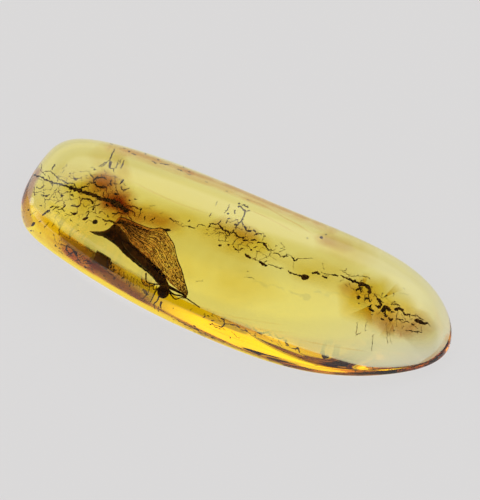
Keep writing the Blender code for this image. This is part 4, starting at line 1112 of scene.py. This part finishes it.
def sky():
    """Soft white light from all round, with a bright band and patches, and dark places to be mirrored."""
    world = bpy.data.worlds.new("studio")
    bpy.context.scene.world = world
    world.use_nodes = True
    graph = Graph(world.node_tree)
    way = graph.node("ShaderNodeTexCoord", output="Generated")
    axes = graph.node("ShaderNodeSeparateXYZ", {0: way}).socket.node.outputs
    height = Value(graph, axes["Z"])

    def facing(azimuth, elevation, low, high):
        """A round patch: a smooth step of the cosine between the way and the patch's middle."""
        sockets = {0: way, 1: tuple(direction(azimuth, elevation))}
        cosine = graph.node("ShaderNodeVectorMath", sockets, output="Value", operation='DOT_PRODUCT')
        return graph.smooth(cosine, low, high)

    band = facing(*BEHIND) * graph.smooth(height, *BAND_FOOT) * graph.smooth(height, *BAND_TOP, 1.0, 0.0)
    light = SKY + band * BACK + (facing(*END_PATCH) * END_LIGHT + facing(*SIDE_PATCH) * SIDE_LIGHT)
    # The polished top would mirror the sky overhead, and its near side the sky before it
    overhead = graph.smooth(height, *OVERHEAD) * (1 - facing(*GAP))
    for dark in (overhead, facing(*BEFORE), facing(*LOW_BEFORE)):
        light = light * (1 - dark * DARK)
    background = world.node_tree.nodes["Background"]
    background.inputs["Color"].default_value = (1, 1, 1, 1)
    graph.feed(background.inputs["Strength"], light)


def floor():
    """The pale floor, whose even light the stone is seen against, with a painted caustic behind the stone
    and painted light under it.
    """
    mesh = bpy.data.meshes.new("floor")
    half, depth = FLOOR_HALF * MM, FLOOR_DEPTH * MM
    corners = [(-half, -half, -depth), (half, -half, -depth), (half, half, -depth), (-half, half, -depth)]
    mesh.from_pydata(corners, [], [(0, 1, 2, 3)])
    pale, shader, graph = new_material(
        "floor", Base_Color=(FLOOR_ALBEDO, FLOOR_ALBEDO, FLOOR_ALBEDO, 1), Roughness=0.8,
        Specular_IOR_Level=0.0)
    place = graph.node("ShaderNodeTexCoord", output="Object")
    axes = graph.node("ShaderNodeSeparateXYZ", {0: place}).socket.node.outputs
    x, y = Value(graph, axes["X"]) * (1 / MM), Value(graph, axes["Y"]) * (1 / MM)
    # Painted caustic: a warm glowing strip on the floor behind the stone
    strip = graph.smooth(y, *STRIP_NEAR) * graph.smooth(y, *STRIP_FAR, 1.0, 0.0)
    strip = strip * graph.smooth(x, *STRIP_LEFT) * graph.smooth(x, *STRIP_RIGHT, 1.0, 0.0)
    graph.feed(shader.inputs["Emission Color"], graph.blend(strip, FLOOR_COLOUR, PAINTED_CAUSTIC_COLOUR))
    # Painted light under the stone: a glowing superellipse in its place
    along, across = (graph.maths('POWER', graph.maths('ABSOLUTE', value * (1 / reach)), UNDER_POWER)
                     for value, reach in ((x, UNDER_X), (y, UNDER_Y)))
    under = graph.smooth(along + across, 0.7, 1.0, 1.0, 0.0)
    graph.feed(shader.inputs["Emission Strength"], FLOOR_LIGHT + strip * PAINTED_CAUSTIC + under * PAINTED_UNDER_LIGHT)
    mesh.materials.append(pale)
    ground = bpy.data.objects.new("floor", mesh)
    bpy.context.collection.objects.link(ground)


stone = amber()
seen = Seen(stone)
inclusions(seen)
insect(seen)
camera_and_bounces()
sky()
floor()
